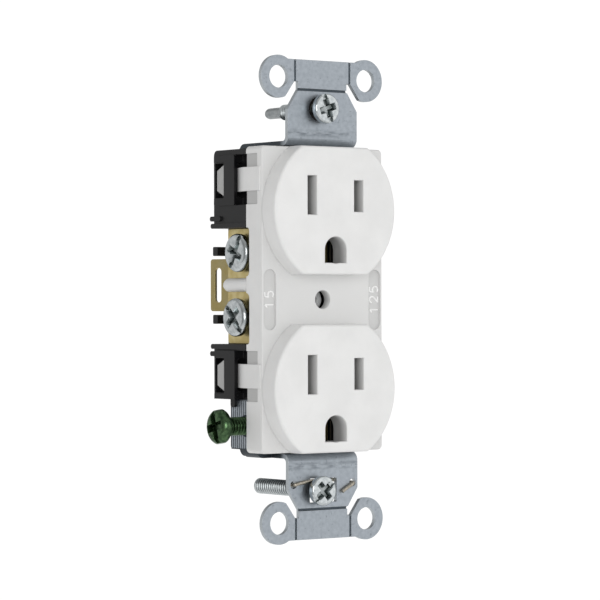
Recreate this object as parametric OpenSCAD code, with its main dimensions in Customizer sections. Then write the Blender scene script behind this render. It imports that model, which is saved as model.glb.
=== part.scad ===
// Duplex wall outlet, side wired, with a wrap-around strap and captive mounting screws.
// X is right, Y goes back into the wall, Z is up. Y = 0 is the rear face of the strap's ear plates,
// and the origin is midway between the two mounting screws.

/* [Face] */
// Distance from the side of the raised sockets to the side of the face and the body
side_margin = 0.05; // [0:0.05:0.3]
// Distance from a socket's centre to the end of the face
socket_end = 13.85; // [13.6:0.05:14.1]
// Thickness of the flat wall between the sockets
flange_t = 2.2; // [1.8:0.1:2.6]
// Wall thickness of the skirt round the base
skirt_t = 1.5; // [1.2:0.1:1.8]
// Depth of the skirt behind the flat wall
skirt_d = 3.5; // [3.0:0.1:4.0]
// Depth of the skirt beside the terminals
mid_skirt_d = 2.4; // [1.8:0.1:2.8]
// Corner radius of the face
corner_r = 1.0; // [0.5:0.1:1.5]
// Diameter of the centre hole for the cover plate screw
cover_hole_d = 4.0; // [3.8:0.1:4.4]
// Width of the recessed rating pads
pad_w = 3.3; // [2.6:0.1:3.6]
// Height of the recessed rating pads
pad_h = 13.2; // [10:0.1:15]
// Distance from the pad's middle to the face's edge
pad_inset = 2.2; // [2.0:0.1:2.6]
// Depth of the rating pads
pad_d = 0.45; // [0.3:0.05:0.6]

/* [Sockets] */
// Distance between the two socket centres
outlet_pitch = 38.9; // [38.5:0.1:39.3]
// Diameter of each raised socket face
boss_d = 33.0; // [31.5:0.1:33.1]
// Height of the raised socket faces
boss_rise = 4.8; // [4.0:0.1:5.5]
// Wall thickness of the raised socket faces
boss_wall = 2.0; // [1.6:0.1:2.4]
// Radius of the rounded front edge
boss_edge_r = 0.6; // [0.3:0.1:1.0]
// Distance between the inner flats of the two socket faces
flat_gap = 10.9; // [10:0.1:12]
// Distance between the two blade slots
slot_pitch = 12.7; // [12.4:0.1:13.0]
// Height of the blade slots above the socket centre
slot_rise = 3.2; // [2.8:0.1:3.5]
// Width of the blade slots
slot_w = 2.5; // [2.2:0.1:2.8]
// Height of the neutral slot
neutral_slot_h = 8.5; // [8.0:0.1:8.9]
// Height of the hot slot
hot_slot_h = 6.9; // [6.6:0.1:7.4]
// Distance from the blade slots down to the ground pin's axis
pin_drop = 11.9; // [11.7:0.1:12.1]
// Width of the ground hole
pin_hole_w = 5.9; // [5.6:0.1:6.2]
// Height of the ground hole
pin_hole_h = 5.7; // [5.5:0.1:6.0]
// Depth of the collar round the ground hole
pin_collar = 5.0; // [4.0:0.1:5.8]

/* [Latches] */
// Distance from the top of the face down to the upper latch arms
upper_latch_drop = 7.1; // [6.8:0.05:7.5]
// Distance from the bottom of the face up to the lower latch arms
lower_latch_rise = 16.7; // [16.4:0.1:17.0]
// Width of a latch arm
arm_w = 5.2; // [4.4:0.1:5.8]
// Thickness of a latch arm
arm_t = 1.2; // [1.0:0.1:1.3]
// How far an arm runs straight behind the skirt
arm_straight = 1.2; // [0.8:0.1:1.4]
// How far the arms stand proud of the skirt
arm_proud = 0.3; // [0.1:0.05:0.4]
// Width of the hook at the end of an arm
hook_w = 7.0; // [6.4:0.1:7.2]
// Width of the hook's narrow end
hook_end_w = 4.1; // [3.6:0.1:4.6]
// Length of the hook
hook_l = 3.4; // [3.0:0.1:3.6]
// Width of the relief recess beside an arm
relief_w = 11.0; // [10:0.1:11.4]
// Depth of the relief recess
relief_d = 0.25; // [0.2:0.05:0.6]

/* [Base] */
// Distance from the face's ends in to the ends of the base
base_inset = 0.4; // [0.3:0.1:0.8]
// Depth from the strap plane to the back of the base in the strap's channel
base_back = 16.1; // [15.8:0.1:16.4]
// Distance from the face's side to the waist behind the terminals
waist_inset = 3.3; // [3.2:0.1:3.6]
// Distance from the waist in to the cheeks beside the strap
cheek_inset = 1.7; // [1.4:0.1:2.0]
// How far the cheeks stand behind the latch blocks
cheek_back = 0.5; // [0.3:0.1:0.7]
// Distance from the lower latch arms down to the end of their blocks
lower_block_drop = 5.0; // [4.8:0.1:5.2]
// Depth of the latch blocks behind the strap plane
block_back = 17.5; // [17.3:0.1:18]
// Length of the latch bar over the arm
bar_l = 3.9; // [3.4:0.1:4.1]
// Distance from the strap plane to the front of the latch bar
bar_front = 9.25; // [9.0:0.05:9.4]
// Thickness of the latch bar
bar_t = 0.5; // [0.4:0.1:0.8]
// Height of the bars that frame each latch window
frame_bar_h = 1.5; // [1.0:0.1:1.8]
// How far the bars of the latch windows end before the back of their block
frame_short = 0.6; // [0.4:0.1:0.8]
// How far the latch frame stands out of the block
frame_proud = 0.45; // [0.3:0.05:0.6]
// Thickness of the base's floor under the contacts
floor_t = 1.5; // [1.3:0.1:1.8]
// Thickness of the wire guide ribs
rib_t = 1.1; // [0.8:0.1:1.2]
// Length of the short wire guide ribs on the latch blocks
short_rib_l = 3.0; // [2.4:0.1:3.6]
// How far the wire guide ribs stand behind the latch blocks
rib_back = 1.0; // [0.6:0.1:1.4]
// Height of the wire pegs
peg_h = 2.0; // [1.6:0.1:2.2]
// Depth of the wire pegs
peg_d = 1.7; // [1.2:0.1:1.8]

/* [Strap] */
// Thickness of the strap
strap_t = 1.0; // [0.9:0.05:1.1]
// Width of the strap
strap_w = 18.9; // [18:0.1:19]
// Inside radius of the strap's bends
bend_r = 0.9; // [0.7:0.1:1.0]
// Gap between the face's ends and the strap
shelf_gap = 0.25; // [0.2:0.05:0.4]
// Distance from the end of the face out to the mounting screw, which sets the screws 83.34 apart
mount_out = 8.37; // [8.25:0.01:8.49]
// Length of the mounting slots
mount_slot_l = 7.4; // [7.2:0.1:8.0]
// Width of the mounting slots
mount_slot_w = 5.3; // [5.2:0.05:5.4]
// Distance from the side of the face in to the plaster ear holes
ear_inset = 4.65; // [4.5:0.05:4.8]
// Distance from the mounting screw out to the line of the plaster ear holes
ear_out = 6.73; // [6.5:0.01:7]
// Outside diameter of the plaster ears
ear_d = 9.3; // [9.0:0.1:9.6]
// Diameter of the plaster ear holes
ear_hole_d = 5.0; // [4.6:0.1:5.4]
// Distance from the line of the ear holes out to the ear bar's edge
bar_over = 3.9; // [3.7:0.1:4.2]
// Width between the snap-off score lines
score_w = 14.9; // [14.6:0.1:15.2]
// Width of the neck that carries the ear bar
neck_w = 13.2; // [12.8:0.1:13.6]
// Distance from the line of the ear holes in to the score line across the neck
neck_drop = 2.65; // [2.5:0.05:2.8]
// Distance from the line of the ear holes in to the shoulders where the strap starts to narrow
shoulder_drop = 7.0; // [6.8:0.1:7.4]
// Width of the score lines
score_groove = 0.55; // [0.4:0.05:0.7]
// Depth of the score lines
score_depth = 0.4; // [0.2:0.05:0.5]
// Diameter of the holes for the spring wire
wire_hole_d = 1.7; // [1.6:0.1:1.9]
// Distance from the strap's side to the holes for the spring wire
wire_hole_inset = 1.35; // [1.25:0.05:1.5]
// Distance from the lower mounting screw up to the holes for the spring wire
wire_rise = 1.4; // [1.2:0.1:1.5]
// Diameter of the spring wire
wire_d = 0.8; // [0.7:0.05:0.85]

/* [Terminals] */
// Height of the middle of the terminal plates
terminal_z = 3.2; // [3.0:0.1:3.4]
// How much further the terminals' recess reaches below its centre than above
terminal_drop = 0.4; // [0.2:0.1:0.6]
// Length of the two terminal plates together
terminal_l = 25.0; // [24.6:0.1:25.2]
// Gap between the two terminal plates
terminal_gap = 2.6; // [2.2:0.1:3.0]
// Distance from the face's side to the plates' outer face
plate_inset = 2.35; // [2.2:0.05:2.4]
// Distance from the strap plane to the plates' rear edge
plate_rear = 14.8; // [14.4:0.1:14.9]
// Thickness of the brass
brass_t = 0.8; // [0.7:0.05:0.9]
// Distance between the two terminal screws of a side
screw_pitch = 14.1; // [13.8:0.1:14.4]
// Distance from the strap plane to the terminal screws
screw_y = 9.0; // [8.9:0.05:9.2]
// Width of the break-off fin
fin_w = 4.55; // [4.4:0.05:4.8]
// Length of the break-off fin
fin_l = 11.5; // [11:0.1:12]
// Outward lean of the break-off fin
fin_lean = 23; // [18:1:26]
// Length of the slot in the break-off fin
fin_slot_l = 7.7; // [7.2:0.1:8.2]
// Distance from the fold of the break-off fin to the middle of its slot
fin_slot_out = 2.6; // [2.4:0.05:2.8]
// Width of the slot in the break-off fin
fin_slot_w = 1.6; // [1.3:0.1:1.8]
// Distance from the middle of the plates up to the barrier post
post_rise = 0.05; // [0:0.05:0.3]
// Distance from the terminal screws back to the barrier post's tip
post_reach = 5.75; // [5.4:0.05:5.8]
// Height of the barrier post between the terminals
post_h = 3.0; // [2.8:0.1:3.4]
// Distance from the waist in to the bus's spine
spine_inset = 1.6; // [1.4:0.1:1.8]
// Width of the bus's spine
spine_w = 3.4; // [3.0:0.1:3.8]
// Length of the blade contact leaves
leaf_l = 9.6; // [9.0:0.1:10]
// Height of the blade contact leaves
leaf_h = 7.4; // [7.0:0.1:7.6]
// Thickness of the blade contact leaves
leaf_t = 0.6; // [0.5:0.05:0.7]
// Gap that grips the blade
blade_grip = 1.3; // [1.2:0.05:1.4]

/* [Ground] */
// Distance from the face's side to the outer face of the ground lug
lug_inset = 2.9; // [2.8:0.1:3.0]
// Distance from the bottom of the face up to the ground screw
ground_screw_rise = 5.7; // [5.6:0.1:5.9]
// Distance from the bottom of the face up to the lug's top edge
lug_h = 11.4; // [11.1:0.1:11.5]
// Distance from the strap plane to the front edge of the lug
lug_front = 5.1; // [5.0:0.1:5.4]
// Distance from the strap plane to the rear edge of the lug
lug_rear = 14.7; // [14.2:0.1:14.9]
// Length of the bend that joins the lug to the strap
lug_bend_l = 5.4; // [4.6:0.1:6.0]
// Distance from the ground pin's axis up to the rivet
rivet_rise = 5.8; // [5.6:0.1:6.0]
// Diameter of the rivets
rivet_d = 2.4; // [2.2:0.1:2.6]
// Diameter of the rivet heads
rivet_head_d = 3.8; // [3.6:0.1:4.2]
// Height of the rivet heads
rivet_head_h = 0.8; // [0.6:0.1:1.0]
// Gap between the leaves that grip the ground pin
pin_grip = 4.8; // [4.7:0.05:4.9]
// Width of the ground contact's foot
foot_w = 7.4; // [7.2:0.1:7.8]
// Distance from the ground pin's axis down to the end of the foot
foot_down = 3.2; // [3.0:0.1:3.4]
// Distance from the rivet up to the end of the foot
foot_up = 2.1; // [2.0:0.1:2.4]

/* [Screws] */
// Diameter of the terminal and ground screw threads
screw_d = 4.1; // [4.0:0.05:4.2]
// Diameter of the terminal screw heads
screw_head_d = 8.4; // [8.0:0.1:8.7]
// Height of the terminal screw heads
screw_head_h = 2.0; // [1.8:0.1:2.2]
// Length of the terminal screws under the head
screw_l = 6.0; // [5.6:0.1:6.2]
// How far the upper terminal screws are backed out
upper_backed_out = 0.6; // [0.4:0.05:0.8]
// How far the lower terminal screws are backed out
lower_backed_out = 1.1; // [0.9:0.05:1.3]
// Width of the ground screw's hexagon across its flats
hex_w = 7.3; // [7.1:0.1:7.5]
// Height of the ground screw's head
hex_h = 2.2; // [2.0:0.1:2.6]
// Length of the ground screw under the head
ground_screw_l = 9.0; // [8.6:0.1:9.2]
// Turn of the ground screw's hexagon
hex_turn = 15; // [0:1:30]
// How far the ground screw is backed out
ground_backed_out = 6.3; // [6.2:0.1:6.8]
// Diameter of the mounting screw threads
mount_screw_d = 3.5; // [3.4:0.05:3.5]
// Diameter of the plain neck under a mounting screw's head
mount_neck_d = 2.9; // [2.8:0.05:3.0]
// Diameter of the mounting screw heads
mount_head_d = 6.5; // [6.2:0.1:6.8]
// Height of the mounting screw heads
mount_head_h = 1.8; // [1.6:0.1:2.0]
// Length of the upper mounting screw under the head
upper_mount_l = 20.6; // [20:0.1:22]
// Length of the lower mounting screw under the head
lower_mount_l = 23.3; // [22:0.1:25]
// Diameter of the mounting screws' pilot points
pilot_d = 2.5; // [2.2:0.1:2.8]
// Length of the upper mounting screw's pilot point
upper_pilot_l = 6.0; // [5:0.1:7]
// Length of the lower mounting screw's pilot point
lower_pilot_l = 1.0; // [0.8:0.1:1.4]
// Gap under the mounting screw heads
mount_head_gap = 1.1; // [1.05:0.05:1.2]
// Sideways place of the upper mounting screw in its slot
upper_mount_x = -0.6; // [-0.8:0.1:-0.4]
// Sideways place of the lower mounting screw in its slot
lower_mount_x = -1.7; // [-1.9:0.1:-1.5]
// Width of the drive recess in the heads
drive_w = 1.1; // [0.9:0.1:1.3]
// Depth of the drive recess
drive_d = 1.2; // [1.0:0.1:1.4]
// Thickness of the fibre retaining washer
retainer_t = 0.8; // [0.6:0.1:1.0]
// Width of the fibre retaining washer
retainer_w = 9.0; // [8.6:0.1:9.4]
// Height of the fibre retaining washer
retainer_h = 8.2; // [8.0:0.1:8.6]

/* [Centre post] */
// How far the well round the centre post runs below its axis
well_drop = 9.5; // [8:0.5:10]
// Diameter of the centre post
post_d = 5.6; // [5.2:0.1:6.0]
// Diameter of the centre post's tapped bore
post_bore_d = 3.1; // [3.0:0.05:3.2]
// Depth of the tapped bore
post_bore_l = 9.0; // [8:0.1:10]
// Diameter of the tenon that is riveted into the strap
tenon_d = 3.6; // [3.4:0.1:4.0]
// Height of the riveted end of the tenon
tenon_head_h = 0.5; // [0.4:0.1:0.7]

/* [Clearances] */
// Gap between pieces that are fitted together
fit_gap = 0.15; // [0.12:0.01:0.2]
// Gap round a thread in its tapped hole
thread_gap = 0.05; // [0.03:0.01:0.08]
// Gap round a screw in a plain hole
screw_gap = 0.45; // [0.4:0.05:0.5]

/* [Hidden] */
$fn = 64;

// Room that a cut takes past a face
cut = 0.5;
// Straight run left between two full round corners
tiny = 0.01;
// Overlap that joins two solids of one piece
bite = 0.3;
// Segments in a rounded corner of an outline
corner_n = 8;
// Corner radius of moulded ribs, of moulded blocks and of stamped sheet
rib_r = 0.3;
block_r = 1.2;
stamp_r = 0.6;

// Faces along the depth
front_y = -strap_t;
boss_y = front_y - boss_rise;
flange_back = front_y + flange_t;
skirt_back = flange_back + skirt_d;
mid_skirt_back = flange_back + mid_skirt_d;
base_front = flange_back + fit_gap;
strap_back = base_back + fit_gap;
floor_y = base_back - floor_t;

// Faces across the width and up the height
side_x = boss_d / 2 + side_margin;
top_z = outlet_pitch / 2 + socket_end;
waist_x = side_x - waist_inset;
plate_x = side_x - plate_inset;
block_x = side_x - frame_proud;
base_z = top_z - base_inset;
rim_z = top_z - skirt_t - fit_gap;
shelf_z = top_z + shelf_gap;
cheek_in = strap_w / 2 + fit_gap;
cheek_out = waist_x - cheek_inset;
corner_x = side_x - lug_inset - strap_t - fit_gap;

// Heights of the upper mounting screw, of the ear holes, and of the edges and score line round them
mount_z = top_z + mount_out;
ear_z = mount_z + ear_out;
bar_z = ear_z + bar_over;
neck_z = ear_z - neck_drop;
shoulder_z = ear_z - shoulder_drop;

// Sockets
outlet_z = [outlet_pitch / 2, -outlet_pitch / 2];
pin_z = slot_rise - pin_drop;

// Terminals; the bus's bridge lies inside the skirt by its lap
bridge_lap = 0.5;
leaf_gap = 0.5;
leaf_flare = 0.35;
leaf_mouth = 1.4;
terminal_top = terminal_z + terminal_l / 2;
terminal_bottom = terminal_z - terminal_l / 2 - terminal_drop;
post_z = terminal_z + post_rise;
bridge_y = mid_skirt_back - bridge_lap;
spine_x = waist_x - spine_inset;
leaf_y = flange_back + leaf_gap;
web_y = leaf_y + leaf_l - brass_t;

// Ground screw and the top of its lug
ground_z = ground_screw_rise - top_z;
lug_top = lug_h - top_z;

// Latch blocks: the arm's height, its block's lowest and highest edge
upper_latch_z = top_z - upper_latch_drop;
lower_latch_z = lower_latch_rise - top_z;
latches = [[upper_latch_z, terminal_top, base_z],
    [lower_latch_z, lower_latch_z - lower_block_drop, terminal_bottom]];
arm_in = block_x - bar_t - fit_gap;
pocket_x = arm_in - arm_t - fit_gap;
bar_back = bar_front + bar_l;
window_w = hook_w + 4 * fit_gap;
window_back = bar_back + hook_l + 3 * fit_gap;

// Round an outline's corner with a short arc
function arc(c, r, a0, a1) =
    [for (i = [0 : corner_n]) let (a = a0 + (a1 - a0) * i / corner_n) c + r * [cos(a), sin(a)]];

// Rectangle with round corners
module round_rect(x0, y0, x1, y1, r)
    polygon(concat(arc([x1 - r, y1 - r], r, 0, 90), arc([x0 + r, y1 - r], r, 90, 180),
        arc([x0 + r, y0 + r], r, 180, 270), arc([x1 - r, y0 + r], r, 270, 360)));

// Slab of an XZ outline between two depths
module slab(y0, y1) translate([0, y1, 0]) rotate([90, 0, 0]) linear_extrude(y1 - y0) children();

// Bar of a YZ outline between two sideways places
module bar(x0, x1) translate([x0, 0, 0]) rotate([90, 0, 90]) linear_extrude(x1 - x0) children();

// Column of an XY outline between two heights
module column(z0, z1) translate([0, 0, z0]) linear_extrude(z1 - z0) children();

// Box between two corners
module box(a, b) translate(a) cube(b - a);

// Round bar along Y or along X
module rod_y(d, y0, y1) translate([0, y1, 0]) rotate([90, 0, 0]) cylinder(d = d, h = y1 - y0);
module rod_x(d, x0, x1) translate([x0, 0, 0]) rotate([0, 90, 0]) cylinder(d = d, h = x1 - x0);

// The same thing on both sides
module both_sides() for (s = [0, 1]) mirror([s, 0, 0]) children();

// Outline of a raised socket face, smaller by a wall; up is 1 for the upper socket
module boss_outline(up, wall) {
    inner = outlet_pitch / 2 - flat_gap / 2 - wall;
    outer = top_z - outlet_pitch / 2 - wall;
    intersection() {
        circle(d = boss_d - 2 * wall, $fn = 128);
        translate([-boss_d, up > 0 ? -inner : -outer]) square([2 * boss_d, inner + outer]);
    }
}

// Raised socket face: a turned disc with a round front edge, cut by two flats
module boss(up) {
    r = boss_d / 2;
    e = boss_edge_r;
    h = boss_rise + flange_t;
    intersection() {
        translate([0, flange_back, 0]) rotate([90, 0, 0]) rotate_extrude($fn = 128)
            polygon(concat([[0, 0], [r, 0]], arc([r - e, h - e], e, 0, 90), [[0, h]]));
        slab(boss_y - cut, flange_back + cut) boss_outline(up, 0);
    }
}

// Ground hole: a round arch over a flat sill
module pin_hole(margin) {
    r = pin_hole_w / 2 + margin;
    circle(r = r);
    translate([-r, pin_hole_w / 2 - pin_hole_h - margin]) square([2 * r, pin_hole_h - pin_hole_w / 2 + margin]);
}

// Blade slot, centred
module slot(w, h) translate([-w / 2, -h / 2]) square([w, h]);

// Latch arm on the left side, with the hook that snaps behind the bar
module latch_arm() {
    x = side_x + arm_proud;
    root = front_y + bite;
    bend = skirt_back + arm_straight;
    hook_y = bar_back + fit_gap;
    hook_mid = hook_y + hook_l / 2;
    hook_end = hook_y + hook_l;
    land = 0.4;
    lead = 0.3;
    hook_x = block_x - 0.1;
    column(-arm_w / 2, arm_w / 2) polygon([
        [-x, root], [-x, bend], [-arm_in, bar_front], [-arm_in, hook_mid], [-arm_in + arm_t, hook_mid],
        [-arm_in + arm_t, bar_front - bite], [-x + arm_t, bend - bite], [-x + arm_t, root]]);
    intersection() {
        column(-hook_w / 2, hook_w / 2) polygon([
            [-arm_in + arm_t, hook_y], [-hook_x, hook_y], [-hook_x, hook_end - lead],
            [-hook_x + lead, hook_end], [-arm_in + arm_t, hook_end]]);
        bar(-side_x, 0) polygon([
            [hook_y, -hook_w / 2], [hook_y + land, -hook_w / 2], [hook_end, -hook_end_w / 2],
            [hook_end, hook_end_w / 2], [hook_y + land, hook_w / 2], [hook_y, hook_w / 2]]);
    }
}

// Barrier post between the terminals of the left side, with the gusset at its root
module barrier_post() {
    tip = screw_y + post_reach;
    r = post_h / 2;
    taper = 1.0;
    gusset = skirt_back - mid_skirt_back;
    front = mid_skirt_back - bite;
    wide = r + bite + gusset;
    inner = -plate_x - fit_gap;
    intersection() {
        translate([inner - bite, 0, post_z]) union() {
            rod_y(post_h, flange_back, tip - taper);
            translate([0, tip, 0]) rotate([90, 0, 0]) cylinder(r1 = r - taper / 2, r2 = r, h = taper);
        }
        box([-side_x, flange_back, post_z - r], [inner, tip, post_z + r]);
    }
    translate([0, 0, post_z]) bar(-side_x, -side_x + skirt_t) polygon(concat(
        [[front, wide], [front, -wide]], arc([skirt_back, -wide], gusset, 180, 90),
        arc([skirt_back, wide], gusset, 270, 180)));
}

module face_cover() color("#EDEDEC") {
    inner_x = side_x - skirt_t;
    inner_z = top_z - skirt_t;
    collar_t = 1.4;
    notch_r = 0.8;
    relief_y = flange_back - 0.6;
    difference() {
        union() {
            difference() {
                slab(front_y, skirt_back) round_rect(-side_x, -top_z, side_x, top_z, corner_r);
                box([-inner_x, flange_back, -inner_z], [inner_x, skirt_back + cut, inner_z]);
            }
            for (z = outlet_z) translate([0, 0, z]) boss(sign(z));
        }
        // Hollow behind each socket face
        for (z = outlet_z) translate([0, 0, z]) difference() {
            slab(boss_y + boss_wall, flange_back + cut) boss_outline(sign(z), boss_wall);
            translate([0, 0, pin_z]) slab(boss_y, boss_y + pin_collar) pin_hole(collar_t);
        }
        // Blade slots and ground holes
        for (z = outlet_z) translate([0, 0, z]) slab(boss_y - cut, flange_back + cut) {
            translate([-slot_pitch / 2, slot_rise]) slot(slot_w, neutral_slot_h);
            translate([slot_pitch / 2, slot_rise]) slot(slot_w, hot_slot_h);
            translate([0, pin_z]) pin_hole(0);
        }
        rod_y(cover_hole_d, front_y - cut, flange_back + cut);
        // Rating pads
        both_sides() translate([side_x - pad_inset, 0, 0]) slab(front_y - cut, front_y + pad_d)
            round_rect(-pad_w / 2, -pad_h / 2, pad_w / 2, pad_h / 2, pad_w / 2 - tiny);
        // Shallower skirt beside the terminals
        both_sides() bar(inner_x - cut, side_x + cut)
            round_rect(mid_skirt_back, terminal_bottom, skirt_back + skirt_d, terminal_top, notch_r);
        // Relief recesses beside the latch arms
        both_sides() for (l = latches) box([side_x - relief_d, relief_y, l[0] - relief_w / 2],
            [side_x + cut, skirt_back + cut, l[0] + relief_w / 2]);
    }
    both_sides() for (l = latches) translate([0, 0, l[0]]) latch_arm();
    both_sides() barrier_post();
}

// Latch block on the left side, from its lowest to its highest edge
module latch_block(z, low, high) {
    difference() {
        union() {
            bar(-block_x, -cheek_in) round_rect(skirt_back + fit_gap, low, block_back, high, block_r);
            bar(-side_x, -pocket_x) difference() {
                round_rect(bar_front, z - relief_w / 2, block_back - frame_short, z + relief_w / 2, rib_r);
                translate([bar_back, z - relief_w / 2 + frame_bar_h])
                    square([block_back, relief_w - 2 * frame_bar_h]);
            }
        }
        // Room for the arm in front of the bar, under it and behind it
        box([-side_x - cut, skirt_back, z - relief_w / 2], [-pocket_x, bar_front, z + relief_w / 2]);
        box([-arm_in - fit_gap, bar_front - cut, z - window_w / 2], [-pocket_x, window_back, z + window_w / 2]);
        box([-side_x - cut, bar_back, z - window_w / 2], [-pocket_x, window_back, z + window_w / 2]);
    }
}

// Two wire guide ribs on the left side, a long and a short one, starting at an edge and stepping one way
module guide_ribs(edge, way) {
    step = rib_t + 0.5;
    roots = [skirt_back + fit_gap, block_back - short_rib_l];
    shorter = 0.3;
    for (i = [0, 1]) {
        a = edge + way * i * step;
        b = a + way * rib_t;
        bar(-side_x, -cheek_in)
            round_rect(roots[i], min(a, b), block_back + rib_back - shorter * (1 - i), max(a, b), rib_t / 2 - tiny);
    }
}

// Pocket for one blade contact on the left side
module contact_pocket(z) {
    x = slot_pitch / 2;
    half = leaf_h / 2 + leaf_t + leaf_gap;
    inner = -x + blade_grip / 2 + leaf_t + leaf_flare + leaf_gap / 2;
    box([-spine_x - fit_gap, base_front - cut, z - half], [inner, floor_y, z + half]);
}

// Wires are laid round the pegs behind each terminal screw
module wire_peg(z) {
    y = plate_rear + brass_t;
    bar(-side_x, -cheek_out) round_rect(y, z - peg_h / 2, y + peg_d, z + peg_h / 2, rib_r);
}

module base_side() {
    for (l = latches) latch_block(l[0], l[1], l[2]);
    guide_ribs(terminal_top, 1);
    guide_ribs(terminal_bottom, -1);
    for (s = [-1, 1]) wire_peg(terminal_z + s * (screw_pitch + peg_d / 2) / 2);
}

// Tab of the base that holds the ground lug's corner
tab_t = 0.6;
tab_w = 1.6;
tab_lap = 1.7;
tab_gap = 0.4;
tab_back = 1.3;
tab_x = -side_x + lug_inset - tab_gap;

module base_housing() color("#343436") {
    base_body();
    bar(tab_x - tab_t, tab_x)
        round_rect(lug_rear - tab_back - tab_w, lug_top - tab_lap, lug_rear - tab_back, lug_top + block_r, stamp_r);
}

module base_body() difference() {
    union() {
        slab(skirt_back + fit_gap, base_back) round_rect(-waist_x, -base_z, waist_x, base_z, stamp_r);
        slab(base_front, skirt_back + cut) round_rect(-waist_x, -rim_z, waist_x, rim_z, stamp_r);
        both_sides() base_side();
        // Cheeks on both sides of the strap's channel
        both_sides() slab(base_back - cut, block_back + cheek_back)
            round_rect(-cheek_out, terminal_bottom - rib_t, -cheek_in, terminal_top + rib_t, rib_r);
        both_sides() slab(base_back - cut, block_back)
            round_rect(-cheek_out, -base_z, -cheek_in, lower_latch_z, rib_r);
    }
    // Corner that the ground lug stands in
    box([-side_x - cut, lug_front - cut, -top_z], [-corner_x, block_back, lug_top + fit_gap]);
    // Room for the terminal plates' bridges over the wall
    both_sides() box([-waist_x - cut, base_front - cut, terminal_bottom],
        [-spine_x + brass_t, bridge_y + brass_t + fit_gap, terminal_top]);
    // Channel for each spine, and a pocket for each contact
    both_sides() box([-spine_x - fit_gap, base_front - cut, outlet_z[1] + slot_rise - leaf_h / 2 - leaf_gap],
        [-spine_x + brass_t + fit_gap, bridge_y + spine_w + leaf_gap, outlet_z[0] + slot_rise + leaf_h / 2 + leaf_gap]);
    both_sides() for (z = outlet_z) contact_pocket(z + slot_rise);
    // Pockets for the ground contacts, with room for the pin's end and the rivet
    for (z = outlet_z) translate([0, 0, z + pin_z]) {
        box([-foot_w / 2 - fit_gap, base_front - cut, -foot_down - fit_gap],
            [foot_w / 2 + fit_gap, floor_y, rivet_rise + foot_up + fit_gap]);
        rod_y(pin_grip + cut, floor_y - cut, base_back + cut);
        translate([0, 0, rivet_rise]) rod_y(rivet_d + 2 * thread_gap, floor_y - cut, base_back + cut);
    }
    // Terminal screws and ground screw run into blind holes
    both_sides() for (s = [-1, 1]) translate([0, screw_y, terminal_z + s * screw_pitch / 2])
        rod_x(screw_d + 2 * screw_gap, -waist_x - cut, -plate_x + screw_l);
    translate([0, screw_y, ground_z])
        rod_x(screw_d + 2 * screw_gap, -corner_x - cut, -side_x + lug_inset + ground_screw_l);
    // Well round the centre post, open to the upper ground contact's pocket, and the hole for its tenon
    box([-foot_w / 2 - fit_gap, base_front - cut, -well_drop],
        [foot_w / 2 + fit_gap, floor_y, outlet_z[0] + pin_z]);
    rod_y(tenon_d + 2 * thread_gap, floor_y - cut, base_back + cut);
}

// Outline of one ear bar, its neck and its ears, for the upper end
module ear_outline() {
    ex = side_x - ear_inset;
    // Points of the open corner: its narrow end between neck and ear, and the end of the ear's flat
    apex = [score_w / 2 - tiny, neck_z + ear_d * 0.19];
    apex_l = apex - ear_d * [0.05, 0.055];
    apex_r = apex + ear_d * [0.03, -0.01];
    flat_end = [ex, ear_z] - ear_d * [0.235, 0.4];
    difference() {
        union() {
            translate([-neck_w / 2, neck_z]) square([neck_w, bar_z - neck_z]);
            translate([-ex, apex[1]]) square([2 * ex, bar_z - apex[1]]);
            for (s = [-1, 1]) translate([s * ex, ear_z]) circle(d = ear_d);
        }
        // Open corner between each ear and the shoulder
        for (s = [0, 1]) mirror([s, 0]) polygon([
            [neck_w / 2, shoulder_z], [neck_w / 2, neck_z], apex_l, apex, apex_r, flat_end,
            flat_end + 3 * (flat_end - apex)]);
        for (s = [-1, 1]) translate([s * ex, ear_z]) circle(d = ear_hole_d);
    }
    polygon([[-strap_w / 2, plate_z], [strap_w / 2, plate_z], [strap_w / 2, shoulder_z],
        [neck_w / 2, neck_z], [-neck_w / 2, neck_z], [-strap_w / 2, shoulder_z]]);
}

// Ear plate for the upper end, with its score lines
module ear_plate() difference() {
    slab(front_y, 0) ear_outline();
    g = score_groove / 2;
    for (s = [-1, 1]) box([s * score_w / 2 - g, front_y - cut, neck_z + strap_t],
        [s * score_w / 2 + g, front_y + score_depth, bar_z + cut]);
    box([-neck_w / 2 - cut, front_y - cut, neck_z - g], [neck_w / 2 + cut, front_y + score_depth, neck_z + g]);
}

// Slot for a mounting screw: round ends above, square ends below
module mount_slot(end_r)
    round_rect(-mount_slot_l / 2, -mount_slot_w / 2, mount_slot_l / 2, mount_slot_w / 2, end_r);

// Side view of the strap's upper half, from the ear plate round to the back
plate_z = shelf_z + strap_t + bend_r + cut;
function strap_side() = concat(
    [[strap_back + strap_t, 0]],
    arc([strap_back - bend_r, shelf_z - bend_r], bend_r + strap_t, 0, 90),
    arc([bend_r, shelf_z + strap_t + bend_r], bend_r, 270, 180),
    [[0, plate_z], [-strap_t, plate_z]],
    arc([bend_r, shelf_z + strap_t + bend_r], bend_r + strap_t, 180, 270),
    arc([strap_back - bend_r, shelf_z - bend_r], bend_r, 90, 0),
    [[strap_back, 0]]);

// Ground lug, bent up from the lower shelf on the left side
module ground_lug() {
    x = -side_x + lug_inset;
    z = -shelf_z;
    c = [x + strap_t + bend_r, z + bend_r];
    slab(lug_front, lug_front + lug_bend_l) polygon(concat(
        [[-strap_w / 2 + strap_t, z - strap_t]], arc(c, bend_r + strap_t, 270, 180),
        arc(c, bend_r, 180, 270), [[-strap_w / 2 + strap_t, z]]));
    bar(x, x + strap_t) round_rect(lug_front, z + bend_r, lug_rear, lug_top, stamp_r);
}

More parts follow.
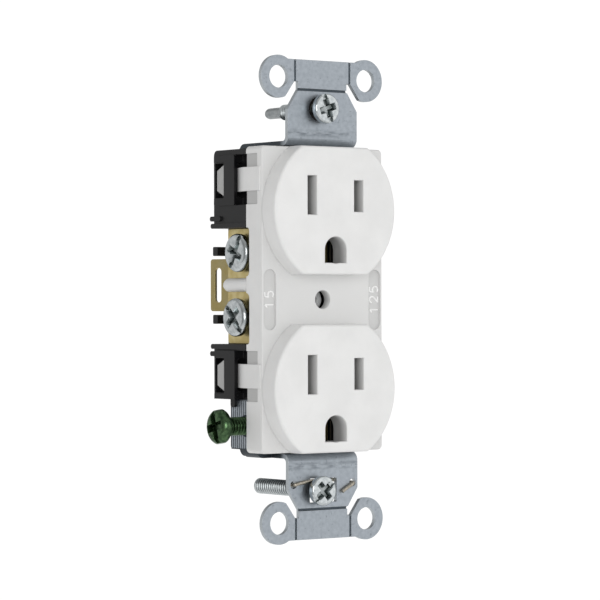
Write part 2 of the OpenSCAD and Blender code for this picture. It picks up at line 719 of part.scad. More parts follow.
module mounting_strap() color("#9AA3AB") difference() {
    union() {
        for (s = [0, 1]) mirror([0, 0, s]) {
            bar(-strap_w / 2, strap_w / 2) polygon(strap_side());
            ear_plate();
        }
        ground_lug();
    }
    translate([0, 0, mount_z]) slab(front_y - cut, cut) mount_slot(mount_slot_w / 2 - tiny);
    translate([0, 0, -mount_z]) slab(front_y - cut, cut) mount_slot(rib_r);
    for (s = [-1, 1]) translate([s * wire_hole_x, 0, wire_z]) rod_y(wire_hole_d, front_y - cut, cut);
    for (z = outlet_z) translate([0, 0, z + pin_z + rivet_rise])
        rod_y(rivet_d + 2 * thread_gap, strap_back - cut, strap_back + strap_t + cut);
    rod_y(tenon_d + 2 * thread_gap, strap_back - cut, strap_back + strap_t + cut);
    translate([0, screw_y, ground_z])
        rod_x(screw_d + 2 * thread_gap, -side_x, -side_x + lug_inset + strap_t + cut);
}

// Break-off fin on the left side: a flat loop that leans outward from the plates' rear edge
module break_off_fin() translate([-plate_x, plate_rear, post_z]) rotate([0, 0, fin_lean]) difference() {
    bar(0, brass_t) round_rect(-bite, -fin_l / 2, fin_w, fin_l / 2, stamp_r);
    bar(-cut, brass_t + cut) {
        translate([fin_slot_out, 0])
            round_rect(-fin_slot_w / 2, -fin_slot_l / 2, fin_slot_w / 2, fin_slot_l / 2, fin_slot_w / 2 - tiny);
        translate([-bite - cut, -terminal_gap / 2]) square([bite + cut, terminal_gap]);
    }
}

// Blade contact on the left side: two leaves folded together along their top edge
module blade_contact(z) {
    x = slot_pitch / 2;
    g = blade_grip / 2;
    column(z - leaf_h / 2, z + leaf_h / 2) for (s = [0, 1]) translate([-x, 0]) mirror([s, 0]) polygon([
        [g + leaf_flare, leaf_y], [g, leaf_y + leaf_mouth], [g, leaf_y + leaf_l], [g + leaf_t, leaf_y + leaf_l],
        [g + leaf_t, leaf_y + leaf_mouth], [g + leaf_flare + leaf_t, leaf_y]]);
    box([-x - g - leaf_t, leaf_y + leaf_mouth, z + leaf_h / 2 - leaf_t],
        [-x + g + leaf_t, leaf_y + leaf_l, z + leaf_h / 2]);
    box([-spine_x, web_y, z - leaf_h / 2], [-x - g, web_y + brass_t, z + leaf_h / 2]);
    box([-spine_x, bridge_y, z - leaf_h / 2], [-spine_x + brass_t, web_y + brass_t, z + leaf_h / 2]);
}

// One half of the left bus, from the gap between the plates to its contact; its bridge is set in from both ends
bridge_step = 1.2;
module bus_half(low, high, near, far, contact_z) {
    bar(-plate_x, -plate_x + brass_t) round_rect(bridge_y, low, plate_rear, high, stamp_r);
    box([-plate_x, bridge_y, low + bridge_step], [-spine_x + brass_t, bridge_y + brass_t, high - bridge_step]);
    box([-spine_x, bridge_y, near], [-spine_x + brass_t, bridge_y + spine_w, far]);
    blade_contact(contact_z);
}

module side_bus() difference() {
    high = post_z + terminal_gap / 2;
    low = post_z - terminal_gap / 2;
    upper_z = outlet_z[0] + slot_rise;
    lower_z = outlet_z[1] + slot_rise;
    union() {
        bus_half(high, terminal_top - fit_gap, high + bridge_step, upper_z, upper_z);
        bus_half(terminal_bottom + fit_gap, low, lower_z, low - bridge_step, lower_z);
        break_off_fin();
    }
    for (s = [-1, 1]) translate([0, screw_y, terminal_z + s * screw_pitch / 2])
        rod_x(screw_d + 2 * thread_gap, -plate_x - cut, -plate_x + brass_t + cut);
}

module neutral_bus() color("#C9BB85") side_bus();

module hot_bus() color("#B8994F") mirror([1, 0, 0]) side_bus();

// Cross-shaped drive recess, cut down from a height; it takes this share of a head's width
drive_share = 0.7;
module drive_recess(d, h) for (a = [0, 90]) rotate(a)
    translate([-d / 2, -drive_w / 2, h - drive_d]) cube([d, drive_w, drive_d + cut]);

// Screw along Z with its head's seat at zero and its point below
module binding_screw() {
    r = screw_head_d / 2;
    rim = screw_head_h * 0.45;
    slope = 0.9;
    difference() {
        rotate_extrude()
            polygon([[0, 0], [r, 0], [r, rim], [r - slope, screw_head_h], [0, screw_head_h]]);
        drive_recess(screw_head_d * drive_share, screw_head_h);
    }
    screw_shank(screw_d, screw_l);
}

module screw_shank(d, l) rotate_extrude()
    polygon([[0, cut / 2], [d / 2, cut / 2], [d / 2, -l + d / 4], [d / 3, -l], [0, -l]]);

module terminal_screw(z, backed_out) color("#C4C8CC")
    translate([-plate_x - backed_out, screw_y, z]) rotate([0, -90, 0]) binding_screw();

module neutral_screw_upper() terminal_screw(terminal_z + screw_pitch / 2, upper_backed_out);
module neutral_screw_lower() terminal_screw(terminal_z - screw_pitch / 2, lower_backed_out);
module hot_screw_upper() color("#C9A85A")
    mirror([1, 0, 0]) terminal_screw(terminal_z + screw_pitch / 2, upper_backed_out);
module hot_screw_lower() color("#C9A85A")
    mirror([1, 0, 0]) terminal_screw(terminal_z - screw_pitch / 2, lower_backed_out);

module ground_screw() color("#3E6B3C")
    translate([-side_x + lug_inset - ground_backed_out, screw_y, ground_z])
    rotate([0, -90, 0]) rotate(hex_turn) {
        corner = hex_w / sqrt(3);
        edge = 0.5;
        crown = 1.3;
        difference() {
            intersection() {
                cylinder(r = corner, h = hex_h, $fn = 6);
                rotate_extrude() polygon([[0, 0], [corner + bite, 0], [corner, hex_h * 0.62],
                    [corner - edge, hex_h * 0.85], [corner - crown, hex_h], [0, hex_h]]);
            }
            drive_recess(hex_w * drive_share, hex_h);
        }
        screw_shank(screw_d, ground_screw_l);
    }

// Ground contact: a foot on the base's floor and two leaves that grip the pin
module ground_contact(z) color("#B7A76B") translate([0, 0, z + pin_z]) {
    root = foot_w / 2;
    grip = pin_grip / 2;
    mouth = grip + 0.5;
    mouth_y = leaf_y + 0.3;
    grip_y = leaf_y + 2.6;
    bend_y = floor_y - 3;
    leaf_z = foot_down - 0.4;
    difference() {
        box([-root, floor_y - brass_t, -foot_down], [root, floor_y, rivet_rise + foot_up]);
        rod_y(pin_grip + cut, floor_y - brass_t - cut, floor_y + cut);
        translate([0, 0, rivet_rise]) rod_y(rivet_d + 2 * thread_gap, floor_y - brass_t - cut, floor_y + cut);
    }
    column(-leaf_z, leaf_z) for (s = [0, 1]) mirror([s, 0]) polygon([
        [root, floor_y - cut], [root - leaf_t, floor_y - cut], [root - leaf_t, bend_y], [grip, grip_y],
        [mouth, mouth_y], [mouth + leaf_t, mouth_y], [grip + leaf_t, grip_y], [root, bend_y]]);
}

module ground_contact_upper() ground_contact(outlet_z[0]);
module ground_contact_lower() ground_contact(outlet_z[1]);

// Rivet through the contact's foot, the base's floor and the strap
module ground_rivet(z) color("#A9AEB3") translate([0, 0, z + pin_z + rivet_rise]) {
    front = floor_y - brass_t;
    back = strap_back + strap_t;
    l = back - front;
    r = rivet_head_d / 2;
    top_r = r * 0.6;
    rim = rivet_head_h * 0.4;
    translate([0, back, 0]) rotate([90, 0, 0]) rotate_extrude() polygon([
        [0, -rivet_head_h], [top_r, -rivet_head_h], [r, -rim], [r, 0], [rivet_d / 2, 0], [rivet_d / 2, l],
        [r, l], [r, l + rim], [top_r, l + rivet_head_h], [0, l + rivet_head_h]]);
}

module ground_rivet_upper() ground_rivet(outlet_z[0]);
module ground_rivet_lower() ground_rivet(outlet_z[1]);

// Mounting screw with a pan head and a pilot point
module mounting_screw(x, z, l, pilot_l) color("#B9BEC2")
    translate([x, front_y - mount_head_gap, z]) rotate([90, 0, 0]) {
        r = mount_head_d / 2;
        edge = 0.8;
        taper = (mount_screw_d - pilot_d) / 2 + bite;
        // Plain neck under the head, as far as the back of the retaining washer
        neck_r = mount_neck_d / 2;
        neck_l = mount_head_gap + strap_t + fit_gap + retainer_t + cut;
        tip = 0.4;
        difference() {
            rotate_extrude() polygon(concat([[0, 0], [r, 0]],
                arc([r - edge, mount_head_h - edge], edge, 0, 90), [[0, mount_head_h]]));
            drive_recess(mount_head_d * drive_share, mount_head_h);
        }
        rotate_extrude() polygon([[0, cut / 2], [neck_r, cut / 2], [neck_r, -neck_l],
            [mount_screw_d / 2, -neck_l], [mount_screw_d / 2, -l + pilot_l + taper], [pilot_d / 2, -l + pilot_l],
            [pilot_d / 2, -l + tip], [pilot_d / 2 - tip, -l], [0, -l]]);
    }

module mounting_screw_upper() mounting_screw(upper_mount_x, mount_z, upper_mount_l, upper_pilot_l);
module mounting_screw_lower() mounting_screw(lower_mount_x, -mount_z, lower_mount_l, lower_pilot_l);

// Fibre washer behind the strap that keeps the upper mounting screw in its slot
module upper_screw_retainer() color("#4A3B33") translate([upper_mount_x, 0, mount_z])
    slab(fit_gap, fit_gap + retainer_t) difference() {
        round_rect(-retainer_w / 2, -retainer_h / 2, retainer_w / 2, retainer_h / 2, block_r);
        circle(d = mount_screw_d + 2 * thread_gap);
    }

// Centre post for the cover plate screw, riveted into the strap by its tenon
module cover_screw_post() color("#A9AEB3") {
    back = strap_back + strap_t;
    difference() {
        union() {
            rod_y(post_d, base_front, floor_y);
            rod_y(tenon_d, floor_y - cut, back);
            translate([0, back + tenon_head_h, 0]) rotate([90, 0, 0])
                cylinder(d1 = tenon_d, d2 = tenon_d + 3 * tenon_head_h, h = tenon_head_h);
        }
        rod_y(post_bore_d, base_front - cut, base_front + post_bore_l);
    }
}

// Spring wire woven through the lower ear plate: in at the left hole, along the front, through the slot
// above the screw, behind the plate, out at the right hole and hooked down
wire_hole_x = strap_w / 2 - wire_hole_inset;
wire_z = -mount_z + wire_rise;
wire_pass_z = -mount_z + (mount_screw_d + mount_slot_w) / 4;
wire_front = front_y - wire_d / 2 - thread_gap;
wire_rear = wire_d / 2 + thread_gap;
wire_step = wire_d / 4;
slot_x = mount_slot_l / 2;
wire_route = [
    // Left end, through its hole to the front
    [-wire_hole_x, 5 * wire_step, wire_z],
    [-wire_hole_x, wire_step, wire_z],
    [-wire_hole_x, -0.7 * strap_t, wire_z],
    [-wire_hole_x + wire_step, wire_front + 0.7 * wire_step, wire_z + wire_step / 4],
    [-wire_hole_x + 4 * wire_step, wire_front, wire_z + wire_step],
    // Along the front and down into the slot
    [-1.5 * slot_x, wire_front, wire_pass_z - 1.5 * wire_step],
    [-1.1 * slot_x, wire_front, wire_pass_z - 0.5 * wire_step],
    [-0.86 * slot_x, wire_front, wire_pass_z],
    [-0.6 * slot_x, wire_front + 1.8 * wire_step, wire_pass_z],
    [-0.3 * slot_x, -strap_t / 2, wire_pass_z],
    [0.05 * slot_x, wire_rear - 2 * wire_step, wire_pass_z],
    // Behind the plate to the right hole
    [0.45 * slot_x, wire_rear, wire_pass_z],
    [slot_x, wire_rear, wire_pass_z - wire_step / 2],
    [1.5 * slot_x, wire_rear, wire_z + wire_step],
    [wire_hole_x - 3.5 * wire_step, wire_rear, wire_z],
    [wire_hole_x - wire_step / 2, wire_step, wire_z],
    [wire_hole_x, -strap_t / 2, wire_z],
    // Right end, hooked down on the front
    [wire_hole_x - wire_step / 2, wire_front + wire_step, wire_z - wire_step / 2],
    [wire_hole_x - 3.5 * wire_step, wire_front, wire_z - 2.5 * wire_step],
    [wire_hole_x - 9.5 * wire_step, wire_front, wire_z - 5.5 * wire_step],
    [wire_hole_x - 16 * wire_step, wire_front, wire_z - 9.5 * wire_step]];
wire_sides = 8;

function unit(v) = v / norm(v);
function wire_dir(i) =
    unit(wire_route[min(i + 1, len(wire_route) - 1)] - wire_route[max(i - 1, 0)]);
function wire_ring(i) =
    let (d = wire_dir(i), u = unit(cross(d, [0.1, 0.2, 1])), v = cross(d, u))
    [for (k = [0 : wire_sides - 1]) wire_route[i]
        + wire_d / 2 * (cos(360 * k / wire_sides) * u + sin(360 * k / wire_sides) * v)];

module self_ground_wire() color("#8C8577") {
    n = len(wire_route);
    m = wire_sides;
    polyhedron(
        points = [for (i = [0 : n - 1]) each wire_ring(i)],
        faces = concat(
            [[for (k = [0 : m - 1]) k]],
            [for (i = [0 : n - 2]) for (k = [0 : m - 1]) let (a = i * m + k, b = i * m + (k + 1) % m)
                each [[a, a + m, b + m], [a, b + m, b]]],
            [[for (k = [m - 1 : -1 : 0]) (n - 1) * m + k]]));
}

face_cover();
base_housing();
mounting_strap();
neutral_bus();
hot_bus();
neutral_screw_upper();
neutral_screw_lower();
hot_screw_upper();
hot_screw_lower();
ground_screw();
ground_contact_upper();
ground_contact_lower();
ground_rivet_upper();
ground_rivet_lower();
mounting_screw_upper();
mounting_screw_lower();
self_ground_wire();
upper_screw_retainer();
cover_screw_post();
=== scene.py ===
"""Looks of a duplex wall outlet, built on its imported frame."""

import math

import bmesh
import bpy
from mathutils import Matrix, Vector


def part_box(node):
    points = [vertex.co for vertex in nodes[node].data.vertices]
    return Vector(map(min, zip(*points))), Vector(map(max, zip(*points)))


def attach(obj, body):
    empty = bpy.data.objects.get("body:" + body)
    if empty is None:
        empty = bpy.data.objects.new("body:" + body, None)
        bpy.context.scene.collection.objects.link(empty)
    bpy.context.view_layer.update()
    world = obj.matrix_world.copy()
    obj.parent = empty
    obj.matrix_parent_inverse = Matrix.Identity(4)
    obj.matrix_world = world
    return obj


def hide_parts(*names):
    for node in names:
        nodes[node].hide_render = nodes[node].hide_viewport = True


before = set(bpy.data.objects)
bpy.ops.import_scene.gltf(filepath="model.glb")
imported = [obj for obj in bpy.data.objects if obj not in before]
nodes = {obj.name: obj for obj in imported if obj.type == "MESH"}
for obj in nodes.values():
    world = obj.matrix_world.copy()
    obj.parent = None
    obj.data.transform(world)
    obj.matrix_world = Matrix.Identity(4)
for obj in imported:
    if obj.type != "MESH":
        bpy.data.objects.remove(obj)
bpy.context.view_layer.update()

MM = 0.001
ROOT = "outlet_body"

# Places and sizes of the CAD features that the looks follow, in mm

# White face: its side and end, the fronts of its sockets and its flange, its sockets and their flats
SIDE_X = 16.55
TOP_Z = 33.3
BOSS_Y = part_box("face_cover")[0].y / MM
FLANGE_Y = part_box("mounting_strap")[0].y / MM
BOSS_R = 16.5
SOCKET_Z = 19.45
FLAT_Z = 5.45
# Blade slots: half their width, the place and half height of each, and their rise over the socket's middle
SLOT_HALF = 1.25
SLOTS = [(-6.35, 4.25), (6.35, 3.45)]
SLOT_RISE = 3.2
# Ground-pin hole: its radius, its sill below its axis and the axis below the socket's middle
PIN_R = 2.95
PIN_SILL = 2.75
PIN_DROP = 8.7
# Hole for the cover plate screw
CENTRE_R = 2.0
# Thin walls beside the latch arms, and the arms themselves
RELIEF_X = SIDE_X - 0.25
RELIEF_Y = 2.65
RELIEF_DEEP = 4.1
RELIEF_W = 11.0
LATCH_Z = [TOP_Z - 7.1, 16.7 - TOP_Z]
ARM_Y = (5.0, 8.5)
# Number pads on the flange
PAD_X = 14.35
PAD_W = 3.3
PAD_Y = -0.55
# Strap: score lines, rubbed band, neck, middle of its thickness and the ground lug
SCORE_X = 7.45
SCORE_Y = -0.7
SCORE_Z = 45.75
RUB_Z = 36.3
NECK_X = 7.0
PLATE_Y = -0.5
LUG_X = -13.65
LUG_Z = -27.4
LUG_H = 10.6
# Mounting screws: their height, and how far across the lower and the upper one stand
MOUNT_Z = 41.67
MOUNT_X = (-1.7, -0.6)
# Front of the tapped centre post
POST_FRONT = 2.75
# A cutter stays this far off a wall that it would otherwise share
CLEAR = 0.005


# Small tools

def colour(code):
    """Linear colour of an sRGB hex value."""
    shares = [int(code[i:i + 2], 16) / 255 for i in (1, 3, 5)]
    linear = [s / 12.92 if s <= 0.04045 else ((s + 0.055) / 1.055) ** 2.4 for s in shares]
    return (*linear, 1.0)


def add(tree, kind, links=None, **settings):
    """Adds one node: settings are its properties, links set or feed its inputs by name or number."""
    node = tree.nodes.new(kind)
    for key, value in settings.items():
        setattr(node, key, value)
    for key, value in (links or {}).items():
        socket = node.inputs[key]
        if isinstance(value, bpy.types.NodeSocket):
            tree.links.new(value, socket)
        else:
            socket.default_value = value
    return node


def show(name, shape):
    """A new object in the scene from a bmesh or a mesh."""
    mesh = shape
    if isinstance(shape, bmesh.types.BMesh):
        mesh = bpy.data.meshes.new(name)
        shape.to_mesh(mesh)
        shape.free()
    piece = bpy.data.objects.new(name, mesh)
    bpy.context.scene.collection.objects.link(piece)
    return piece


def settle(piece):
    """Turns a piece's modifiers into plain mesh."""
    bpy.context.view_layer.update()
    graph = bpy.context.evaluated_depsgraph_get()
    mesh = bpy.data.meshes.new_from_object(piece.evaluated_get(graph))
    piece.modifiers.clear()
    piece.data = mesh
    return piece


def joined(shapes):
    """One bmesh that holds several meshes or bmeshes side by side."""
    whole = bmesh.new()
    for shape in shapes:
        mesh = shape
        if isinstance(shape, bmesh.types.BMesh):
            mesh = bpy.data.meshes.new("shape")
            shape.to_mesh(mesh)
            shape.free()
        whole.from_mesh(mesh)
    return whole


def carve(piece, tool, operation="DIFFERENCE"):
    """Cuts a tool's shape out of a piece, or keeps only what both share."""
    cut = piece.modifiers.new("carve", "BOOLEAN")
    cut.operation = operation
    cut.solver = "EXACT"
    cut.object = tool
    settle(piece)
    bpy.data.objects.remove(tool)
    return piece


def grow(name, tree, sizes, start=None):
    """A plain mesh from a Geometry Nodes tree, with its named inputs set."""
    piece = show(name, start or bpy.data.meshes.new(name))
    modifier = piece.modifiers.new(tree.name, "NODES")
    modifier.node_group = tree
    for item in tree.interface.items_tree:
        if item.item_type == "SOCKET" and item.in_out == "INPUT" and item.name in sizes:
            modifier[item.identifier] = sizes[item.name]
    return settle(piece)


def new_tree(name, inputs):
    """An empty Geometry Nodes tree with named inputs and one geometry output."""
    tree = bpy.data.node_groups.new(name, "GeometryNodeTree")
    tree.interface.new_socket("Geometry", in_out="OUTPUT", socket_type="NodeSocketGeometry")
    for label, kind in inputs.items():
        tree.interface.new_socket(label, in_out="INPUT", socket_type="NodeSocket" + kind)
    return tree, add(tree, "NodeGroupInput").outputs


def close_tree(tree, geometry, material, smooth=True):
    """Ends a tree: its shading, real geometry and its material."""
    if smooth:
        geometry = add(tree, "GeometryNodeSetShadeSmooth", {"Geometry": geometry}).outputs[0]
    real = add(tree, "GeometryNodeRealizeInstances", {"Geometry": geometry})
    dressed = add(tree, "GeometryNodeSetMaterial", {"Geometry": real.outputs[0], "Material": material})
    add(tree, "NodeGroupOutput", {0: dressed.outputs[0]})
    return tree


def dress(piece, material, body=ROOT, stands_for=()):
    """Gives a finished piece its material and its body, and hides the CAD nodes that it stands for."""
    piece.data.materials.clear()
    piece.data.materials.append(material)
    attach(piece, body)
    if stands_for:
        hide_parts(*stands_for)
    return piece


# Materials

# Noise where the darker shade ends and the lighter one starts
PATCHES = (0.35, 0.65)
# A Mix node's numbers for its share, the colour under and over, and the mixed colour
SHARE, UNDER, OVER, MIXED = 0, 6, 7, 2


def new_finish(name, **uniform):
    """A material with its shader's even values set, and the tree, the shader and the place on the piece."""
    material = bpy.data.materials.new(name)
    material.use_nodes = True
    tree = material.node_tree
    shader = tree.nodes["Principled BSDF"]
    for label, value in uniform.items():
        shader.inputs[label.replace("_", " ")].default_value = value
    place = add(tree, "ShaderNodeTexCoord").outputs["Object"]
    return material, tree, shader, place


def per_mm(size):
    """Noise scale whose features are about this many millimetres across."""
    return 1 / (size * MM)


def measured(tree, place):
    """The three parts of a place, then how far it lies from the middle sideways and upright."""
    x, y, z = add(tree, "ShaderNodeSeparateXYZ", {0: place}).outputs
    sideways = add(tree, "ShaderNodeMath", {0: x}, operation="ABSOLUTE").outputs[0]
    upright = add(tree, "ShaderNodeMath", {0: z}, operation="ABSOLUTE").outputs[0]
    return x, y, z, sideways, upright


def apart(tree, first, second):
    """How far one measure lies past another."""
    return add(tree, "ShaderNodeMath", {0: first, 1: second}, operation="SUBTRACT").outputs[0]


def distance(tree, first, second):
    """Length of the way that has these two parts."""
    way = add(tree, "ShaderNodeCombineXYZ", {0: first, 1: second}).outputs[0]
    return add(tree, "ShaderNodeVectorMath", {0: way}, operation="LENGTH").outputs["Value"]


def past(tree, measure, start, full, first=0.0, last=1.0):
    """A mask along a measure: first up to start and last from full on, both in mm."""
    return add(tree, "ShaderNodeMapRange", {
        "Value": measure, "From Min": start * MM, "From Max": full * MM,
        "To Min": first, "To Max": last}).outputs[0]


def band(tree, measure, centre, half, soft):
    """A mask that holds where a measure lies within half of a centre and fades out over soft, all in mm."""
    off = apart(tree, measure, centre * MM)
    away = add(tree, "ShaderNodeMath", {0: off}, operation="ABSOLUTE").outputs[0]
    return past(tree, away, half + soft, half)


def both(tree, *masks):
    """A mask that holds where all of these do."""
    whole = masks[0]
    for mask in masks[1:]:
        whole = add(tree, "ShaderNodeMath", {0: whole, 1: mask}, operation="MULTIPLY").outputs[0]
    return whole


def either(tree, first, second):
    """A mask that holds where one of these does."""
    return add(tree, "ShaderNodeMath", {0: first, 1: second}, operation="MAXIMUM").outputs[0]


def blotches(tree, place, size, detail, clear, full, share):
    """A mask of random spots about size mm across, from no share in the clear to the full share."""
    noise = add(tree, "ShaderNodeTexNoise", {"Vector": place, "Scale": per_mm(size), "Detail": detail})
    return add(tree, "ShaderNodeMapRange", {
        "Value": noise.outputs["Fac"], "From Min": clear, "From Max": full, "To Max": share}).outputs[0]


def crevice(tree, reach, deep, clear):
    """A painted-shade mask: it holds deep in corners and recesses, within reach in mm, and not on open
    faces.
    """
    seen = add(tree, "ShaderNodeAmbientOcclusion", {"Distance": reach * MM}, samples=8).outputs["AO"]
    return add(tree, "ShaderNodeMapRange", {"Value": seen, "From Min": clear, "From Max": deep}).outputs[0]


def mottle(tree, shader, place, dark, light, patch, rough, grain, bump, edge):
    """Two close shades in soft patches, roughness that follows them, fine bump and softly broken edges.

    The sizes are in mm. The grain is drawn about a pixel across, because the real one is too fine to show.
    """
    noise = add(tree, "ShaderNodeTexNoise", {"Vector": place, "Scale": per_mm(patch), "Detail": 4.0})
    cloud = noise.outputs["Fac"]
    low, high = PATCHES
    pale = add(tree, "ShaderNodeMapRange", {"Value": cloud, "From Min": low, "From Max": high})
    dull = add(tree, "ShaderNodeMapRange", {
        "Value": cloud, "From Min": low, "From Max": high, "To Min": rough[0], "To Max": rough[1]})
    shade = add(tree, "ShaderNodeMix", {
        SHARE: pale.outputs[0], UNDER: colour(dark), OVER: colour(light)}, data_type="RGBA")
    specks = add(tree, "ShaderNodeTexNoise", {"Vector": place, "Scale": per_mm(grain), "Detail": 2.0})
    broken = add(tree, "ShaderNodeBevel", {"Radius": edge * MM}, samples=6)
    bumped = add(tree, "ShaderNodeBump", {
        "Height": specks.outputs["Fac"], "Distance": bump * MM, "Strength": 1.0,
        "Normal": broken.outputs[0]})
    tree.links.new(dull.outputs[0], shader.inputs["Roughness"])
    tree.links.new(bumped.outputs[0], shader.inputs["Normal"])
    tree.links.new(shade.outputs[MIXED], shader.inputs["Base Color"])
    return shade.outputs[MIXED]


def stain(tree, shader, shade, mask, code):
    """Another colour over the shade where the mask holds."""
    over = add(tree, "ShaderNodeMix", {SHARE: mask, UNDER: shade, OVER: colour(code)}, data_type="RGBA")
    tree.links.new(over.outputs[MIXED], shader.inputs["Base Color"])
    return over.outputs[MIXED]


# Moulded white nylon: an even satin white, faintly cloudy, with a spark-eroded grain that breaks the gloss
nylon, tree, shader, place = new_finish(
    "moulded white nylon", IOR=1.53, Subsurface_Weight=0.12, Subsurface_Radius=(1.0, 0.95, 0.9),
    Subsurface_Scale=0.4 * MM)
shade = mottle(tree, shader, place, "#E7E7E6", "#EDEDEC",
               patch=7.0, rough=(0.34, 0.44), grain=0.22, bump=0.004, edge=0.15)
x, y, z, sideways, upright = measured(tree, place)
# Beside the latch arms the thin relief walls are painted a darker grey
thin = band(tree, sideways, RELIEF_X, half=0.05, soft=0.05)
inside = band(tree, y, RELIEF_Y, half=RELIEF_DEEP / 2, soft=0.15)
beside = either(tree, *[band(tree, z, latch, half=RELIEF_W / 2, soft=0.15) for latch in LATCH_Z])
shade = stain(tree, shader, shade, both(tree, thin, inside, beside), "#C0C0BF")
# The floors of the two number pads are painted a darker grey than the face round them
on_pad = both(tree, band(tree, sideways, PAD_X, half=PAD_W / 2, soft=0.05),
              band(tree, y, PAD_Y, half=0.03, soft=0.05))
shade = stain(tree, shader, shade, on_pad, "#D2D2D1")
# Painted shade: the flange, sunk between the two sockets, is painted darker than their fronts
shade = stain(tree, shader, shade, band(tree, y, FLANGE_Y, half=0.3, soft=0.1), "#DFDFDE")
# Painted shade: the latch arms darken towards the black windows that they stand in
arm_shade = both(tree, past(tree, y, *ARM_Y), past(tree, upright, FLAT_Z, FLAT_Z + 1))
shade = stain(tree, shader, shade, arm_shade, "#B4B4B3")
# Painted shade: the walls of the holes darken as they go down, first inside each socket's rim, then round
# the centre hole
from_socket = distance(tree, x, apart(tree, upright, SOCKET_Z * MM))
in_socket = both(tree, past(tree, from_socket, 12.9, 12.7), past(tree, y, BOSS_Y + 0.3, BOSS_Y + 2.6))
from_centre = distance(tree, x, z)
in_centre = both(tree, past(tree, from_centre, 3.4, 3.2), past(tree, y, FLANGE_Y + 0.3, FLANGE_Y + 2.0))
stain(tree, shader, shade, either(tree, in_socket, in_centre), "#AEAEAD")

# Polished white nylon: the raised figures, glossier than the face, with a painted highlight that makes them
# brighter
polished, tree, shader, place = new_finish("polished white nylon with painted highlight", IOR=1.53)
mottle(tree, shader, place, "#F4F4F3", "#F9F9F8",
       patch=1.0, rough=(0.2, 0.26), grain=0.3, bump=0.001, edge=0.1)

# Moulded black phenolic: near black with a grey bloom and a slightly rough satin skin
phenolic, tree, shader, place = new_finish("moulded black phenolic", IOR=1.4)
mottle(tree, shader, place, "#0F0F11", "#181819",
       patch=3.0, rough=(0.3, 0.42), grain=0.25, bump=0.006, edge=0.2)

# Zinc-plated rolled steel: an even blue grey with fine dull specks
zinc, tree, shader, place = new_finish("zinc plated rolled steel", Metallic=1.0)
shade = mottle(tree, shader, place, "#A2A9B0", "#ABB2B9",
               patch=0.9, rough=(0.46, 0.4), grain=0.35, bump=0.002, edge=0.12)
x, y, z, sideways, upright = measured(tree, place)
specks = blotches(tree, place, size=0.7, detail=1.0, clear=0.68, full=0.74, share=0.4)
shade = stain(tree, shader, shade, specks, "#6E757B")
# A band above and below the face is rubbed, in streaks across
streaked = add(tree, "ShaderNodeMapping", {"Vector": place, "Scale": (0.4, 1.0, 1.6)}).outputs[0]
rubbed = blotches(tree, streaked, size=1.2, detail=5.0, clear=0.4, full=0.62, share=0.7)
worn = both(tree, band(tree, upright, RUB_Z, half=0.15, soft=0.9), rubbed)
shade = stain(tree, shader, shade, worn, "#5E646A")
# Painted shade in the score lines: the long ones beside the ears and the cross ones on the neck
sunk = band(tree, y, SCORE_Y, half=0.22, soft=0.06)
on_ears = past(tree, upright, SCORE_Z - 1, SCORE_Z - 0.9)
long_score = both(tree, band(tree, sideways, SCORE_X, half=0.3, soft=0.06), on_ears)
on_neck = past(tree, sideways, NECK_X, NECK_X - 0.1)
cross_score = both(tree, band(tree, upright, SCORE_Z, half=0.3, soft=0.06), on_neck)
shade = stain(tree, shader, shade, both(tree, sunk, either(tree, long_score, cross_score)), "#4E555B")
# Sheared edges of the plate, which do not face the front or the back, are brighter than its rolled faces
normal = add(tree, "ShaderNodeTexCoord").outputs["Normal"]
facing = add(tree, "ShaderNodeSeparateXYZ", {0: normal}).outputs["Y"]
flat = add(tree, "ShaderNodeMath", {0: facing}, operation="ABSOLUTE").outputs[0]
on_edge = add(tree, "ShaderNodeMapRange", {"Value": flat, "From Min": 0.5, "From Max": 0.2}).outputs[0]
sheared = both(tree, on_edge, band(tree, y, PLATE_Y, half=0.5, soft=0.05))
shade = stain(tree, shader, shade, sheared, "#C3C9CD")
# Painted shade between the ridges of the ground lug
groove_shade = both(tree, band(tree, x, LUG_X, half=0.03, soft=0.05),
              band(tree, z, LUG_Z, half=LUG_H / 2, soft=0.1))
shade = stain(tree, shader, shade, groove_shade, "#3F454A")
# Painted dark reflection on the run of the strap round the ends
run = both(tree, past(tree, y, 0.6, 2.0), past(tree, upright, TOP_Z - 0.9, TOP_Z - 0.6))
stain(tree, shader, shade, run, "#4A5055")

# Bright zinc screws: cold silver heads with painted shade in their recesses
bright, tree, shader, place = new_finish("bright zinc plated steel", Metallic=1.0)
shade = mottle(tree, shader, place, "#BCC2C4", "#D6DBDC",
               patch=0.8, rough=(0.24, 0.14), grain=0.3, bump=0.001, edge=0.1)
x, y, z, _, upright = measured(tree, place)
# Behind the strap the mounting screws are duller, with painted shade in their thread roots, deeper on the
# lower screw
across = apart(tree, x, past(tree, z, -1, 1, *[screw_x * MM for screw_x in MOUNT_X]))
radius = distance(tree, across, apart(tree, upright, MOUNT_Z * MM))
on_screw = both(tree, past(tree, radius, 3.4, 3.3), past(tree, y, 1.0, 1.2))
root_shade = both(tree, past(tree, radius, 1.62, 1.5), on_screw, past(tree, z, 1, -1, 0.35, 0.85))
shade = stain(tree, shader, shade, root_shade, "#2C3133")
shiny = shader.inputs["Roughness"].links[0].from_socket
dull = add(tree, "ShaderNodeMix", {"Factor": on_screw, "A": shiny, "B": 0.42}).outputs[0]
tree.links.new(dull, shader.inputs["Roughness"])
# Painted shade in recesses and corners, except on the mounting screws behind the strap
crevice_shade = both(tree, crevice(tree, reach=3.0, deep=0.4, clear=0.85), apart(tree, 1.0, on_screw))
stain(tree, shader, shade, crevice_shade, "#4C5553")

# Tinned post: a soft silver white, painted light: whiter than tin and not metallic, so that it stays light
# in its bore
lightened_tin, tree, shader, place = new_finish("tin plated turned steel", Metallic=0.0)
mottle(tree, shader, place, "#EEF0F0", "#F8F9F9",
       patch=0.5, rough=(0.34, 0.24), grain=0.2, bump=0.001, edge=0.06)

